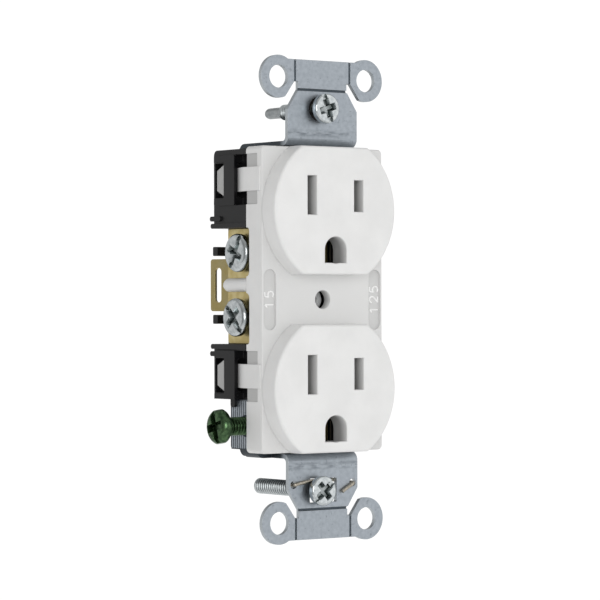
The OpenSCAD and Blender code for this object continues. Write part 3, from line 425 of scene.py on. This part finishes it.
# Brass strip: pale yellow, slightly tarnished in patches
brass, tree, shader, place = new_finish("rolled brass strip", Metallic=1.0)
mottle(tree, shader, place, "#CBB97F", "#DACB97",
       patch=2.0, rough=(0.4, 0.3), grain=0.3, bump=0.002, edge=0.1)

# Brass screws on the hot side: deeper yellow than the strip
yellow, tree, shader, place = new_finish("turned brass", Metallic=1.0)
shade = mottle(tree, shader, place, "#BE9F52", "#D6BA6B",
               patch=0.9, rough=(0.28, 0.18), grain=0.3, bump=0.001, edge=0.1)
# Painted shade in recesses and corners
stain(tree, shader, shade, crevice(tree, reach=3.0, deep=0.45, clear=0.85), "#3E331C")

# Green dyed zinc: a green dye over plated steel, paler where it is thin
green, tree, shader, place = new_finish("green dyed zinc plated steel", Metallic=0.85)
shade = mottle(tree, shader, place, "#344C32", "#57734F",
               patch=0.9, rough=(0.26, 0.16), grain=0.25, bump=0.002, edge=0.15)
# Painted shade in recesses and corners
stain(tree, shader, shade, crevice(tree, reach=3.0, deep=0.35, clear=0.85), "#1A2C15")

# Nickel-plated spring wire: warm grey with drawing marks
nickel, tree, shader, place = new_finish("nickel plated spring wire", Metallic=1.0)
mottle(tree, shader, place, "#A19A8C", "#C2BBAE",
       patch=0.6, rough=(0.34, 0.24), grain=0.2, bump=0.002, edge=0.05)

# Vulcanised fibre: brown black paper board, matt and slightly fibrous
fibre, tree, shader, place = new_finish("vulcanised fibre", IOR=1.5)
mottle(tree, shader, place, "#1F1B19", "#2D2723",
       patch=0.7, rough=(0.75, 0.6), grain=0.25, bump=0.012, edge=0.1)


# Shapes made by hand, in mm

def loft(rings):
    """A closed shape through rings of points, each ring as long as the next."""
    shape = bmesh.new()
    rows = [[shape.verts.new(Vector(p) * MM) for p in ring] for ring in rings]
    for near, far in zip(rows, rows[1:]):
        for i in range(len(near)):
            k = (i + 1) % len(near)
            shape.faces.new((near[i], near[k], far[k], far[i]))
    shape.faces.new(rows[0][::-1])
    shape.faces.new(rows[-1])
    bmesh.ops.recalc_face_normals(shape, faces=shape.faces)
    return shape


def arc(x, y, radius, start, end, count=9):
    """Points on an arc, angles in degrees."""
    angles = [math.radians(start + (end - start) * i / (count - 1)) for i in range(count)]
    return [(x + radius * math.cos(a), y + radius * math.sin(a)) for a in angles]


def rounded(half_x, half_z, radius):
    """Outline of a rectangle with round corners about the origin."""
    x = half_x - radius
    z = half_z - radius
    return (arc(x, z, radius, 0, 90) + arc(-x, z, radius, 90, 180) + arc(-x, -z, radius, 180, 270)
            + arc(x, -z, radius, 270, 360))


def arch(radius, sill):
    """Outline of a round arch over a flat sill, its axis at the origin."""
    return arc(0, 0, radius, 0, 180, 33) + [(-radius, sill / 2), (-radius, sill), (0, sill), (radius, sill),
                                            (radius, sill / 2)]


def mouth(outline, x, z, y, radius):
    """Cutter that rounds the mouth of a hole; outline gives the hole's outline, larger by a margin."""
    rings = [[(x + u, y - 0.2, z + v) for u, v in outline(radius)]]
    # The first degrees of the round are left out, where the cutter would only graze the face
    for step in range(7):
        angle = math.radians(8 + 82 * step / 6)
        margin = radius * (1 - math.sin(angle)) - CLEAR
        depth = radius * (1 - math.cos(angle))
        rings.append([(x + u, y + depth, z + v) for u, v in outline(margin)])
    rings.append([(x + u, y + radius + 0.1, z + v) for u, v in outline(-8 * CLEAR)])
    return loft(rings)


def turned(profile, sides=72):
    """A closed turned shape about Z from (radius, height) points in mm that start and end on the axis."""
    shape = bmesh.new()
    rings = []
    for radius, height in profile:
        count = sides if radius > 0 else 1
        angles = [2 * math.pi * i / sides for i in range(count)]
        rings.append([shape.verts.new((radius * MM * math.cos(a), radius * MM * math.sin(a), height * MM))
                      for a in angles])
    for upper, lower in zip(rings, rings[1:]):
        for i in range(sides):
            corners = []
            for ring, k in ((upper, i), (lower, i), (lower, i + 1), (upper, i + 1)):
                corner = ring[k % len(ring)]
                if corner not in corners:
                    corners.append(corner)
            shape.faces.new(corners).smooth = True
    bmesh.ops.recalc_face_normals(shape, faces=shape.faces)
    return shape


def block(low, high, taper=0.0):
    """A box in mm whose lower face is smaller by taper on each side."""
    shape = bmesh.new()
    bmesh.ops.create_cube(shape, size=1.0)
    for v in shape.verts:
        inset = taper if v.co.z < 0 else 0.0
        for axis in range(3):
            at_low = v.co[axis] < 0
            value = low[axis] if at_low else high[axis]
            if axis < 2:
                value += inset if at_low else -inset
            v.co[axis] = value * MM
    return shape


# White face: the CAD shape, with the mouths of its holes, its flats and its rim rounded as moulded

# Radius on the mouths of the holes, on the sockets' flats and on the rim of the flange
MOUTH_EDGE = 0.3
FLAT_EDGE = 0.6
RIM_EDGE = 0.45
# Turns a shape made along Z to stand along Y, its top to the front
TO_FRONT = Matrix.Rotation(math.pi / 2, 4, "X")


def flat_edge(z, into, radius):
    """Cutter that rounds the front edge of a socket's flat at height z; into points into the socket."""
    section = [(BOSS_Y - 0.3, z - 0.3 * into), (BOSS_Y - 0.3, z + radius * into)]
    section += [(BOSS_Y + radius + radius * math.cos(a), z + (radius + radius * math.sin(a)) * into)
                for a in [math.radians(180 + 90 * i / 8) for i in range(9)]]
    section += [(BOSS_Y + radius, z - 0.3 * into)]
    return loft([[(x, y, h) for y, h in section] for x in (-BOSS_R - 1, BOSS_R + 1)])


def rim_edge(radius):
    """Cutter that rounds the front rim of the flange, clear of the two sockets."""
    rim = show("rim", block((-SIDE_X - 1, FLANGE_Y - 0.1, -TOP_Z - 1),
                            (SIDE_X + 1, FLANGE_Y + radius, TOP_Z + 1)))
    angles = [math.radians(15 * i) for i in range(7)]
    steps = [(-0.3, radius)]
    steps += [(radius * (1 - math.cos(a)), radius * (1 - math.sin(a))) for a in angles]
    steps += [(radius + 0.3, 0)]
    rings = []
    for y, margin in steps:
        outline = rounded(SIDE_X - margin, TOP_Z - margin, 1.0)
        rings.append([(u, FLANGE_Y + y, v) for u, v in outline])
    carve(rim, show("slab", loft(rings)))
    for z in (-SOCKET_Z, SOCKET_Z):
        disc = turned([(0, 1), (BOSS_R + 0.01, 1), (BOSS_R + 0.01, -1), (0, -1)], 128)
        disc.transform(Matrix.Translation(Vector((0, FLANGE_Y, z)) * MM) @ TO_FRONT)
        carve(rim, show("disc", disc))
    return rim


def close_up(shape):
    """Merges doubled corners, drops faces without area and closes slits that a cut has left."""
    bmesh.ops.remove_doubles(shape, verts=shape.verts, dist=1e-6)
    bmesh.ops.dissolve_degenerate(shape, edges=shape.edges, dist=1e-6)
    slits = [edge for edge in shape.edges if len(edge.link_faces) == 1]
    bmesh.ops.holes_fill(shape, edges=slits, sides=0)


def sharpen(shape, degrees=32):
    """Smooth shading that breaks at every edge steeper than this."""
    for face in shape.faces:
        face.smooth = True
    for edge in shape.edges:
        edge.smooth = edge.calc_face_angle(0.0) < math.radians(degrees)


def slot_outline(half_z):
    """Gives a blade slot's outline, larger by a margin."""
    return lambda margin: rounded(SLOT_HALF + margin, half_z + margin, max(0.02, margin))


def pin_outline(margin):
    """Outline of a ground-pin hole, larger by a margin."""
    return arch(PIN_R + margin, -PIN_SILL - margin)


def centre_outline(margin, count=48):
    """Outline of the centre hole, larger by a margin."""
    return arc(0, 0, CENTRE_R + margin, 0, 360 * (count - 1) / count, count)


def slot_liner(shape, x, z, half_z):
    """Adds the wall that a blade slot has behind the thin socket face."""
    front = BOSS_Y + 2.0 - CLEAR
    back = BOSS_Y + 4.4
    wall = 0.6
    rings = []
    for y, more in ((front, 0), (back, 0), (back, wall), (front, wall)):
        half = (SLOT_HALF + more + CLEAR, half_z + more + CLEAR)
        rings.append([shape.verts.new(Vector((x + i * half[0], y, z + k * half[1])) * MM)
                      for i, k in ((-1, -1), (1, -1), (1, 1), (-1, 1))])
    made = []
    for near, far in zip(rings, rings[1:] + rings[:1]):
        for i in range(4):
            made.append(shape.faces.new((near[i], near[i - 1], far[i - 1], far[i])))
    bmesh.ops.recalc_face_normals(shape, faces=made)


def white_face():
    """The face from its CAD shape, with moulded edges and the walls of its slots."""
    shape = bmesh.new()
    shape.from_mesh(nodes["face_cover"].data)
    bmesh.ops.remove_doubles(shape, verts=shape.verts, dist=1e-6)
    face = show("face_moulding", shape)
    tools = []
    for z in (-SOCKET_Z, SOCKET_Z):
        for x, half in SLOTS:
            tools.append(mouth(slot_outline(half), x, z + SLOT_RISE, BOSS_Y, MOUTH_EDGE))
        tools.append(mouth(pin_outline, 0, z - PIN_DROP, BOSS_Y, MOUTH_EDGE))
    tools.append(mouth(centre_outline, 0, 0, FLANGE_Y, MOUTH_EDGE))
    for z, into in ((FLAT_Z, 1), (-FLAT_Z, -1), (TOP_Z, -1), (-TOP_Z, 1)):
        tools.append(flat_edge(z, into, FLAT_EDGE))
    rim = rim_edge(RIM_EDGE)
    carve(face, show("tools", joined([rim.data] + tools)))
    bpy.data.objects.remove(rim)
    smoothed = bmesh.new()
    smoothed.from_mesh(face.data)
    close_up(smoothed)
    for z in (-SOCKET_Z, SOCKET_Z):
        for x, half in SLOTS:
            slot_liner(smoothed, x, z + SLOT_RISE, half)
    sharpen(smoothed)
    smoothed.to_mesh(face.data)
    smoothed.free()
    even = face.modifiers.new("even shading", "WEIGHTED_NORMAL")
    even.keep_sharp = True
    return dress(face, nylon, stands_for=["face_cover"])


white_face()
for node, material in {
    "base_housing": phenolic, "mounting_strap": zinc, "neutral_bus": brass, "hot_bus": brass,
    "ground_contact_upper": brass, "ground_contact_lower": brass, "ground_rivet_upper": bright,
    "ground_rivet_lower": bright, "upper_screw_retainer": fibre,
}.items():
    nodes[node].data.materials.clear()
    nodes[node].data.materials.append(material)


# Screws

# Pitch of a thread with 32 turns to the inch
PITCH = 25.4 / 32
# Facets round a thread, rows along each turn, and the shares of the pitch where a flank starts and ends
THREAD_SIDES = 36
THREAD_ROWS = 10.0
FLANK = (0.07, 0.43)
# Edges of turned metal that are steeper than this, in degrees, stay sharp
METAL_SHARP = 38
# Width that wear has taken off the edges of a head
WORN = 0.07


def thread_tree(material):
    """A threaded rod below the origin: a cylinder whose side follows a helix of flanks."""
    tree, given = new_tree("screw thread", {
        "Crest Radius": "Float", "Depth": "Float", "Pitch": "Float", "Length": "Float", "Run Out": "Float"})
    turns_long = add(tree, "ShaderNodeMath", {0: given["Length"], 1: given["Pitch"]}, operation="DIVIDE")
    rows = add(tree, "ShaderNodeMath", {0: turns_long.outputs[0], 1: THREAD_ROWS}, operation="MULTIPLY")
    rod = add(tree, "GeometryNodeMeshCylinder", {
        "Vertices": THREAD_SIDES, "Side Segments": rows.outputs[0], "Radius": given["Crest Radius"],
        "Depth": given["Length"]})
    here = add(tree, "GeometryNodeInputPosition").outputs[0]
    split = add(tree, "ShaderNodeSeparateXYZ", {0: here}).outputs
    angle = add(tree, "ShaderNodeMath", {0: split["Y"], 1: split["X"]}, operation="ARCTAN2")
    turns = add(tree, "ShaderNodeMath", {0: angle.outputs[0], 1: 2 * math.pi}, operation="DIVIDE")
    lead = add(tree, "ShaderNodeMath", {0: split["Z"], 1: given["Pitch"]}, operation="DIVIDE")
    phase = add(tree, "ShaderNodeMath", {0: lead.outputs[0], 1: turns.outputs[0]}, operation="SUBTRACT")
    saw = add(tree, "ShaderNodeMath", {0: phase.outputs[0]}, operation="FRACT")
    flank = add(tree, "ShaderNodeMath", {0: saw.outputs[0], 1: 0.5}, operation="PINGPONG")
    shape = add(tree, "ShaderNodeMapRange", {
        "Value": flank.outputs[0], "From Min": FLANK[0], "From Max": FLANK[1],
        "To Min": 0.0, "To Max": given["Depth"]})
    half = add(tree, "ShaderNodeMath", {0: given["Length"], 1: 0.5}, operation="MULTIPLY")
    far = add(tree, "ShaderNodeMath", {0: split["Z"]}, operation="ABSOLUTE")
    left = add(tree, "ShaderNodeMath", {0: half.outputs[0], 1: far.outputs[0]}, operation="SUBTRACT")
    fade = add(tree, "ShaderNodeMapRange", {"Value": left.outputs[0], "From Max": given["Run Out"]})
    cut = add(tree, "ShaderNodeMath", {0: shape.outputs[0], 1: fade.outputs[0]}, operation="MULTIPLY")
    lost = add(tree, "ShaderNodeMath", {0: cut.outputs[0], 1: given["Crest Radius"]}, operation="DIVIDE")
    kept = add(tree, "ShaderNodeMath", {0: 1.0, 1: lost.outputs[0]}, operation="SUBTRACT")
    shares = add(tree, "ShaderNodeCombineXYZ", {"X": kept.outputs[0], "Y": kept.outputs[0], "Z": 1.0})
    moved = add(tree, "ShaderNodeVectorMath", {0: here, 1: shares.outputs[0]}, operation="MULTIPLY")
    threaded = add(tree, "GeometryNodeSetPosition", {
        "Geometry": rod.outputs["Mesh"], "Position": moved.outputs[0]})
    down = add(tree, "ShaderNodeMath", {0: half.outputs[0], 1: -1.0}, operation="MULTIPLY")
    drop = add(tree, "ShaderNodeCombineXYZ", {"Z": down.outputs[0]})
    hung = add(tree, "GeometryNodeTransform", {
        "Geometry": threaded.outputs[0], "Translation": drop.outputs[0]})
    return close_tree(tree, hung.outputs[0], material)


THREAD = thread_tree(bright)


def standing(node, outward, turn):
    """Where a screw made along Z, head top at the origin, stands in its CAD node's place."""
    low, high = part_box(node)
    top = (low + high) / 2
    axis = max(range(3), key=lambda k: abs(outward[k]))
    top[axis] = high[axis] if outward[axis] > 0 else low[axis]
    aim = Vector(outward).to_track_quat("Z", "Y").to_matrix().to_4x4()
    spin = Matrix.Rotation(math.radians(turn), 4, "Z")
    return Matrix.Translation(top) @ aim @ spin, (high - low)[axis] / MM


def recess(width, arm, slot_deep, cross_deep, reach):
    """Cutter for a slot and a cross in one recess, whose wings flare towards the face."""
    flare = 0.5
    taper = flare + 0.2
    far = arm + flare
    side = width / 2 + flare
    wing_side = 0.48 * width + flare
    tool = show("recess", block((-far, -side, -cross_deep), (far, side, 1), taper))
    wing = block((-wing_side, -far, -cross_deep - 0.02), (wing_side, far, 1.1), taper)
    slot = block((-reach, -0.43 * width, -slot_deep), (reach, 0.43 * width, 1.2))
    carve(tool, show("wing", wing), "UNION")
    return carve(tool, show("slot", slot), "UNION")


def screw(node, outward, turn, head, shank, thread, drive, material, hexagon=None):
    """A screw with a turned head, a combination slot and cross recess, and a rolled thread."""
    place, length = standing(node, outward, turn)
    height = -head[-1][1]
    solid = show(node + "_head", turned(head + [(0, -height)]))
    if hexagon:
        radius, lean = hexagon
        shape = turned([(0, 1), (radius, 1), (radius, -height - 1), (0, -height - 1)], 6)
        shape.transform(Matrix.Rotation(math.radians(lean), 4, "Z"))
        carve(solid, show("hexagon", shape), "INTERSECT")
    carve(solid, recess(*drive, head[-1][0] + 2))
    worn = solid.modifiers.new("worn edges", "BEVEL")
    worn.width = WORN * MM
    worn.segments = 2
    worn.limit_method = "ANGLE"
    worn.angle_limit = math.radians(40)
    settle(solid)
    crest, deep, start, end = thread
    rod = grow("rod", THREAD, {
        "Crest Radius": crest * MM, "Depth": deep * MM, "Pitch": PITCH * MM,
        "Length": (length - end - start) * MM, "Run Out": PITCH * MM})
    rod.data.transform(Matrix.Translation((0, 0, -start * MM)))
    whole = joined([solid.data, rod.data, turned([(0, -height + 0.2)] + shank(length))])
    whole.transform(place)
    for face in whole.faces:
        face.material_index = 0
    close_up(whole)
    sharpen(whole, METAL_SHARP)
    bpy.data.objects.remove(rod)
    bpy.data.objects.remove(solid)
    return dress(show(node + "_turned", whole), material, node + "_body", [node])


def pan(radius, flat, crown, height):
    """Profile of a pan head: a nearly flat top, an elliptic shoulder down to crown and an edge under it."""
    steps = [math.radians(9 * i) for i in range(11)]
    sag = 0.06
    shoulder = [(flat + (radius - flat) * math.sin(a), -sag - (crown - sag) * (1 - math.cos(a)))
                for a in steps]
    return [(0, 0)] + shoulder + [(radius - 0.05, -height + 0.25), (radius - 0.35, -height)]


# Heads: profiles from the middle of the top to the edge of the back
TERMINAL_HEAD = pan(4.2, 3.0, 0.95, 2.0)
MOUNT_HEAD = pan(3.25, 2.55, 0.55, 1.8)
HEX_HEAD = [
    (0, 0), (2.3, 0), (2.8, -0.08), (3.25, -0.3), (3.6, -0.65), (3.85, -1.05), (3.95, -1.45), (3.9, -1.8),
    (3.65, -2.2)]
# Hexagon of the ground screw: radius of its corners from its width over flats, and its turn in degrees
HEXAGON = (7.3 / math.sqrt(3), 25)
# Threads: crest radius, depth, start below the top of the head and end above the tip
TERMINAL_THREAD = (2.05, 0.45, 2.0, 0.4)
GROUND_THREAD = (2.05, 0.45, 2.2, 0.4)
UPPER_THREAD = (1.75, 0.42, 5.35, 6.4)
LOWER_THREAD = (1.75, 0.42, 5.35, 1.0)
# Recesses: width of the wings, their reach, depth of the slot and depth of the cross
TERMINAL_DRIVE = (1.4, 2.6, 0.75, 1.35)
GROUND_DRIVE = (1.4, 2.5, 0.8, 1.4)
MOUNT_DRIVE = (1.3, 2.05, 0.7, 1.25)
# Plain tips of the mounting screws
UPPER_PILOT = 6.0
LOWER_PILOT = 1.0


def terminal_shank(length):
    """Profile of a terminal screw's core with a bevelled tip."""
    return [(1.6, -1.8), (1.6, -length + 0.9), (1.3, -length), (0, -length)]


def mount_shank(pilot):
    """Gives the profile of a mounting screw's core, with a smooth neck and a plain rounded tip."""
    def shank(length):
        end = length - pilot
        return [(1.45, -1.6), (1.45, -5.35), (1.33, -5.4), (1.33, -end + 0.8), (1.25, -end),
                (1.22, -length + 0.9), (1.05, -length + 0.3), (0.75, -length + 0.05), (0, -length)]
    return shank


for level, turn in (("upper", 62), ("lower", -48)):
    for side, outward, material, slot in (
        ("neutral", (-1, 0, 0), bright, "zinc_screw"), ("hot", (1, 0, 0), yellow, "brass_screw"),
    ):
        screw(f"{side}_screw_{level}", outward, turn, TERMINAL_HEAD, terminal_shank, TERMINAL_THREAD,
              TERMINAL_DRIVE, material)
screw("ground_screw", (-1, 0, 0), 105, HEX_HEAD, terminal_shank, GROUND_THREAD, GROUND_DRIVE, green,
      HEXAGON)
for node, turn, pilot, thread in (
    ("mounting_screw_upper", 108, UPPER_PILOT, UPPER_THREAD),
    ("mounting_screw_lower", 39, LOWER_PILOT, LOWER_THREAD),
):
    screw(node, (0, -1, 0), turn, MOUNT_HEAD, mount_shank(pilot), thread, MOUNT_DRIVE, bright)


# Tapped centre post

def centre_post():
    """The post behind the centre hole: a turned pillar with a tapped mouth and a riveted tenon."""
    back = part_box("cover_screw_post")[1].y / MM - POST_FRONT
    shoulder = 14.6 - POST_FRONT
    bore = 1.55
    length = 7.5
    pillar = show("centre_post", turned([
        (0, 0), (2.2, 0), (2.5, -0.15), (2.75, -0.6), (2.75, -shoulder), (1.8, -shoulder),
        (1.8, -back + 0.5), (2.5, -back), (0, -back)]))
    rod = grow("rod", THREAD, {
        "Crest Radius": (bore + 0.15) * MM, "Depth": 0.35 * MM, "Pitch": PITCH * MM,
        "Length": (length + 1) * MM, "Run Out": 0.1 * MM})
    rod.data.transform(Matrix.Translation((0, 0, MM)))
    carve(pillar, rod)
    pillar.data.transform(Matrix.Translation((0, POST_FRONT * MM, 0)) @ TO_FRONT)
    shape = bmesh.new()
    shape.from_mesh(pillar.data)
    close_up(shape)
    sharpen(shape, METAL_SHARP)
    shape.to_mesh(pillar.data)
    shape.free()
    return dress(pillar, lightened_tin, stands_for=["cover_screw_post"])


centre_post()


# Spring wire and raised numbers

def stroke_tree(name, material):
    """Round wire along the lines of a mesh, bent smoothly at its points."""
    tree, given = new_tree(name, {"Geometry": "Geometry", "Radius": "Float", "Step": "Float"})
    line = add(tree, "GeometryNodeMeshToCurve", {"Mesh": given["Geometry"]})
    bent = add(tree, "GeometryNodeCurveSplineType", {"Curve": line.outputs[0]}, spline_type="CATMULL_ROM")
    even = add(tree, "GeometryNodeResampleCurve", {
        "Curve": bent.outputs[0], "Length": given["Step"]}, mode="LENGTH")
    ring = add(tree, "GeometryNodeCurvePrimitiveCircle", {"Resolution": 16, "Radius": given["Radius"]})
    tube = add(tree, "GeometryNodeCurveToMesh", {
        "Curve": even.outputs[0], "Profile Curve": ring.outputs[0], "Fill Caps": True})
    return close_tree(tree, tube.outputs[0], material)


def lines(name, strokes):
    """A mesh of open lines through points in metres."""
    mesh = bpy.data.meshes.new(name)
    points = [p for stroke in strokes for p in stroke]
    edges = []
    first = 0
    for stroke in strokes:
        edges += [(first + i, first + i + 1) for i in range(len(stroke) - 1)]
        first += len(stroke)
    mesh.from_pydata(points, edges, [])
    return mesh


# Places that the spring wire passes, from its end behind the strap's left to its free end, in mm
WIRE_ROUTE = [
    (-8.1, 1.0, -40.27), (-8.1, 0.2, -40.27), (-8.1, -0.7, -40.27), (-7.9, -1.31, -40.22),
    (-7.3, -1.45, -40.07), (-5.55, -1.45, -39.77), (-4.07, -1.45, -39.57), (-3.18, -1.45, -39.47),
    (-2.22, -1.09, -39.47), (-1.11, -0.5, -39.47), (0.185, 0.05, -39.47), (1.665, 0.45, -39.47),
    (3.7, 0.45, -39.57), (5.55, 0.45, -40.07), (7.4, 0.45, -40.27), (8.0, 0.2, -40.27),
    (8.1, -0.5, -40.27), (8.0, -1.25, -40.37), (7.4, -1.45, -40.77), (6.2, -1.45, -41.37),
    (4.9, -1.45, -42.17)]
route = [[tuple(c * MM for c in p) for p in WIRE_ROUTE]]
wire = grow("ground_wire", stroke_tree("bent wire", nickel), {"Radius": 0.4 * MM, "Step": 0.15 * MM},
            lines("ground_wire", route))
dress(wire, nickel, stands_for=["self_ground_wire"])


# Strokes of each digit in a box one high, left to right and bottom to top
DIGITS = {
    "1": [[(0.1, 0.72), (0.22, 0.86), (0.34, 1.0)], [(0.34, 1.0), (0.34, 0.7), (0.34, 0.35), (0.34, 0.0)]],
    "2": [arc(0.33, 0.7, 0.3, 170, -35) + [(0.36, 0.26), (0.06, 0.0)],
          [(0.06, 0.0), (0.35, 0.0), (0.64, 0.0)]],
    "5": [[(0.58, 1.0), (0.34, 1.0), (0.12, 1.0)], [(0.12, 1.0), (0.1, 0.75), (0.08, 0.53)],
          [(0.08, 0.53)] + arc(0.31, 0.31, 0.31, 110, -140)],
}
# Step from digit to digit and width of the last one, in digit heights
ADVANCE = 0.98
LAST = 0.66


def pad_number(digits, x):
    """Strokes of a number that reads upwards in the pad at x, on the pad's floor."""
    high = 2.3
    floor = FLANGE_Y + 0.43
    width = ADVANCE * (len(digits) - 1) + LAST
    strokes = []
    for i, digit in enumerate(digits):
        for stroke in DIGITS[digit]:
            strokes.append([(
                (x + high / 2 - v * high) * MM, floor * MM,
                (u + i * ADVANCE - width / 2) * high * MM) for u, v in stroke])
    return strokes


# The raised numbers take the polished white with its painted highlight
numbers = grow(
    "pad_numbers", stroke_tree("raised stroke", polished), {"Radius": 0.2 * MM, "Step": 0.1 * MM},
    lines("pad_numbers", pad_number("15", -PAD_X) + pad_number("125", PAD_X)))
dress(numbers, polished)


# Serrations on the ground lug

# Height, spacing and number of the ridges, the share of the spacing that one fills and the first one's Y
RIDGE = 0.14
RIDGE_PITCH = 0.75
RIDGES = 12
RIDGE_SHARE = 0.66
RIDGE_START = 5.65
# Radius and middle of the clear round the ground screw
LUG_HOLE = 2.4
LUG_HOLE_AT = (LUG_X, 9.0, -27.6)


def serration_tree(material):
    """A row of upright flat ridges with narrow grooves between them, side by side along Y."""
    tree, given = new_tree("lug serrations", {
        "Start": "Vector", "Count": "Int", "Pitch": "Float", "Height": "Float", "Length": "Float"})
    step = add(tree, "ShaderNodeCombineXYZ", {"Y": given["Pitch"]})
    row = add(tree, "GeometryNodeMeshLine", {
        "Count": given["Count"], "Start Location": given["Start"], "Offset": step.outputs[0]})
    wide = add(tree, "ShaderNodeMath", {0: given["Pitch"], 1: RIDGE_SHARE}, operation="MULTIPLY")
    size = add(tree, "ShaderNodeCombineXYZ", {
        "X": given["Height"], "Y": wide.outputs[0], "Z": given["Length"]})
    ridge = add(tree, "GeometryNodeMeshCube", {"Size": size.outputs[0]})
    placed = add(tree, "GeometryNodeInstanceOnPoints", {
        "Points": row.outputs[0], "Instance": ridge.outputs[0]})
    return close_tree(tree, placed.outputs[0], material, smooth=False)


ridges = grow("lug_ridges", serration_tree(zinc), {
    "Start": ((LUG_X - RIDGE / 2 + 0.02) * MM, RIDGE_START * MM, LUG_Z * MM), "Count": RIDGES,
    "Pitch": RIDGE_PITCH * MM, "Height": RIDGE * MM, "Length": LUG_H * MM})
hole = turned([(0, 2), (LUG_HOLE, 2), (LUG_HOLE, -2), (0, -2)], 48)
hole.transform(Matrix.Translation(Vector(LUG_HOLE_AT) * MM) @ Matrix.Rotation(math.pi / 2, 4, "Y"))
carve(ridges, show("hole", hole))
dress(ridges, zinc)


# Stage: pale floor, soft light and the camera

# Each board: the way to it, the cosines where its light starts and is full, and its strength
SHEET = ((0.598, 0.802, 0.0), 0.7, 0.985, 1.05)
LEFT_BOARD = ((-0.6, 0.8, 0.0), 0.55, 0.9, 0.68)
RIGHT_BOARD = ((0.6, -0.8, 0.0), 0.1, 0.8, 1.0)
FRONT_BOARD = ((-0.64, -0.77, 0.0), 0.4, 0.95, 0.5)
# Strength of the room's light at eye level and straight above or below
ROOM = (0.2, 0.6)
# Soft lamp by the camera: its place and size in metres, and its power
KEY_AT = (-0.66, -0.76, 0.12)
KEY_SIZE = 0.5
KEY_POWER = 2.9
# Floor under the part, in metres
FLOOR_Z = -1.2
FLOOR_R = 3.0
# Camera as fitted to the photograph: its angles in degrees, its distance and aim across and upright in mm
AZIMUTH = -36.694
ELEVATION = -0.138
ROLL = 0.116
DISTANCE = 626.2
AIM = (-4.426, -0.064)
# Focal length in pixels, the image's width in pixels and the sensor's in mm
FOCAL = 2857.3
IMAGE = 600
SENSOR = 36.0


def stage_floor():
    """A wide pale disc below the part."""
    shape = bmesh.new()
    bmesh.ops.create_circle(shape, cap_ends=True, segments=64, radius=FLOOR_R)
    floor = show("floor", shape)
    floor.location.z = FLOOR_Z
    paint, _, shader, _ = new_finish("pale studio floor", Roughness=0.9, Emission_Strength=0.3)
    for label in ("Base Color", "Emission Color"):
        shader.inputs[label].default_value = colour("#F2F2F2")
    floor.data.materials.append(paint)


def soft_box(name, where, aim, size, power):
    """A square lamp that looks at a point."""
    lamp = bpy.data.lights.new(name, "AREA")
    lamp.size = size
    lamp.energy = power
    holder = bpy.data.objects.new(name, lamp)
    holder.location = where
    holder.rotation_mode = "QUATERNION"
    holder.rotation_quaternion = (Vector(aim) - Vector(where)).to_track_quat("-Z", "Y")
    bpy.context.scene.collection.objects.link(holder)


def stage_light():
    """A grey room, a white sheet behind the part, three white boards and a soft lamp by the camera."""
    world = bpy.data.worlds.new("studio")
    bpy.context.scene.world = world
    world.use_nodes = True
    tree = world.node_tree
    toward = add(tree, "ShaderNodeTexCoord").outputs["Generated"]
    height = add(tree, "ShaderNodeSeparateXYZ", {0: toward}).outputs["Z"]
    steep = add(tree, "ShaderNodeMath", {0: height, 1: height}, operation="MULTIPLY").outputs[0]
    room = add(tree, "ShaderNodeMapRange", {"Value": steep, "To Min": ROOM[0], "To Max": ROOM[1]})
    level = room.outputs[0]
    for axis, start, full, strength in (SHEET, LEFT_BOARD, RIGHT_BOARD, FRONT_BOARD):
        facing = add(tree, "ShaderNodeVectorMath", {0: toward, 1: axis}, operation="DOT_PRODUCT")
        board = add(tree, "ShaderNodeMapRange", {
            "Value": facing.outputs["Value"], "From Min": start, "From Max": full, "To Max": strength})
        level = either(tree, level, board.outputs[0])
    tree.links.new(level, tree.nodes["Background"].inputs["Strength"])
    tree.nodes["Background"].inputs["Color"].default_value = colour("#FFFFFF")
    soft_box("key", KEY_AT, (0, 0, 0), KEY_SIZE, KEY_POWER)


def stage_camera():
    """A camera that sees the part as the photograph does."""
    azimuth = math.radians(AZIMUTH)
    elevation = math.radians(ELEVATION)
    roll = math.radians(ROLL)
    back = Vector((math.sin(azimuth) * math.cos(elevation), -math.cos(azimuth) * math.cos(elevation),
                   math.sin(elevation)))
    right = Vector((math.cos(azimuth), math.sin(azimuth), 0))
    up = back.cross(right)
    target = right * AIM[0] * MM + Vector((0, 0, AIM[1] * MM))
    lens = bpy.data.cameras.new("camera")
    lens.sensor_fit = "HORIZONTAL"
    lens.sensor_width = SENSOR
    lens.lens = FOCAL / IMAGE * SENSOR
    lens.clip_start = 0.01
    camera = bpy.data.objects.new("camera", lens)
    across = right * math.cos(roll) - up * math.sin(roll)
    above = right * math.sin(roll) + up * math.cos(roll)
    pose = Matrix((across, above, back)).transposed().to_4x4()
    camera.matrix_world = Matrix.Translation(target + back * DISTANCE * MM) @ pose
    bpy.context.scene.collection.objects.link(camera)
    bpy.context.scene.camera = camera


stage_floor()
stage_light()
stage_camera()
bpy.context.scene.view_settings.view_transform = "Standard"
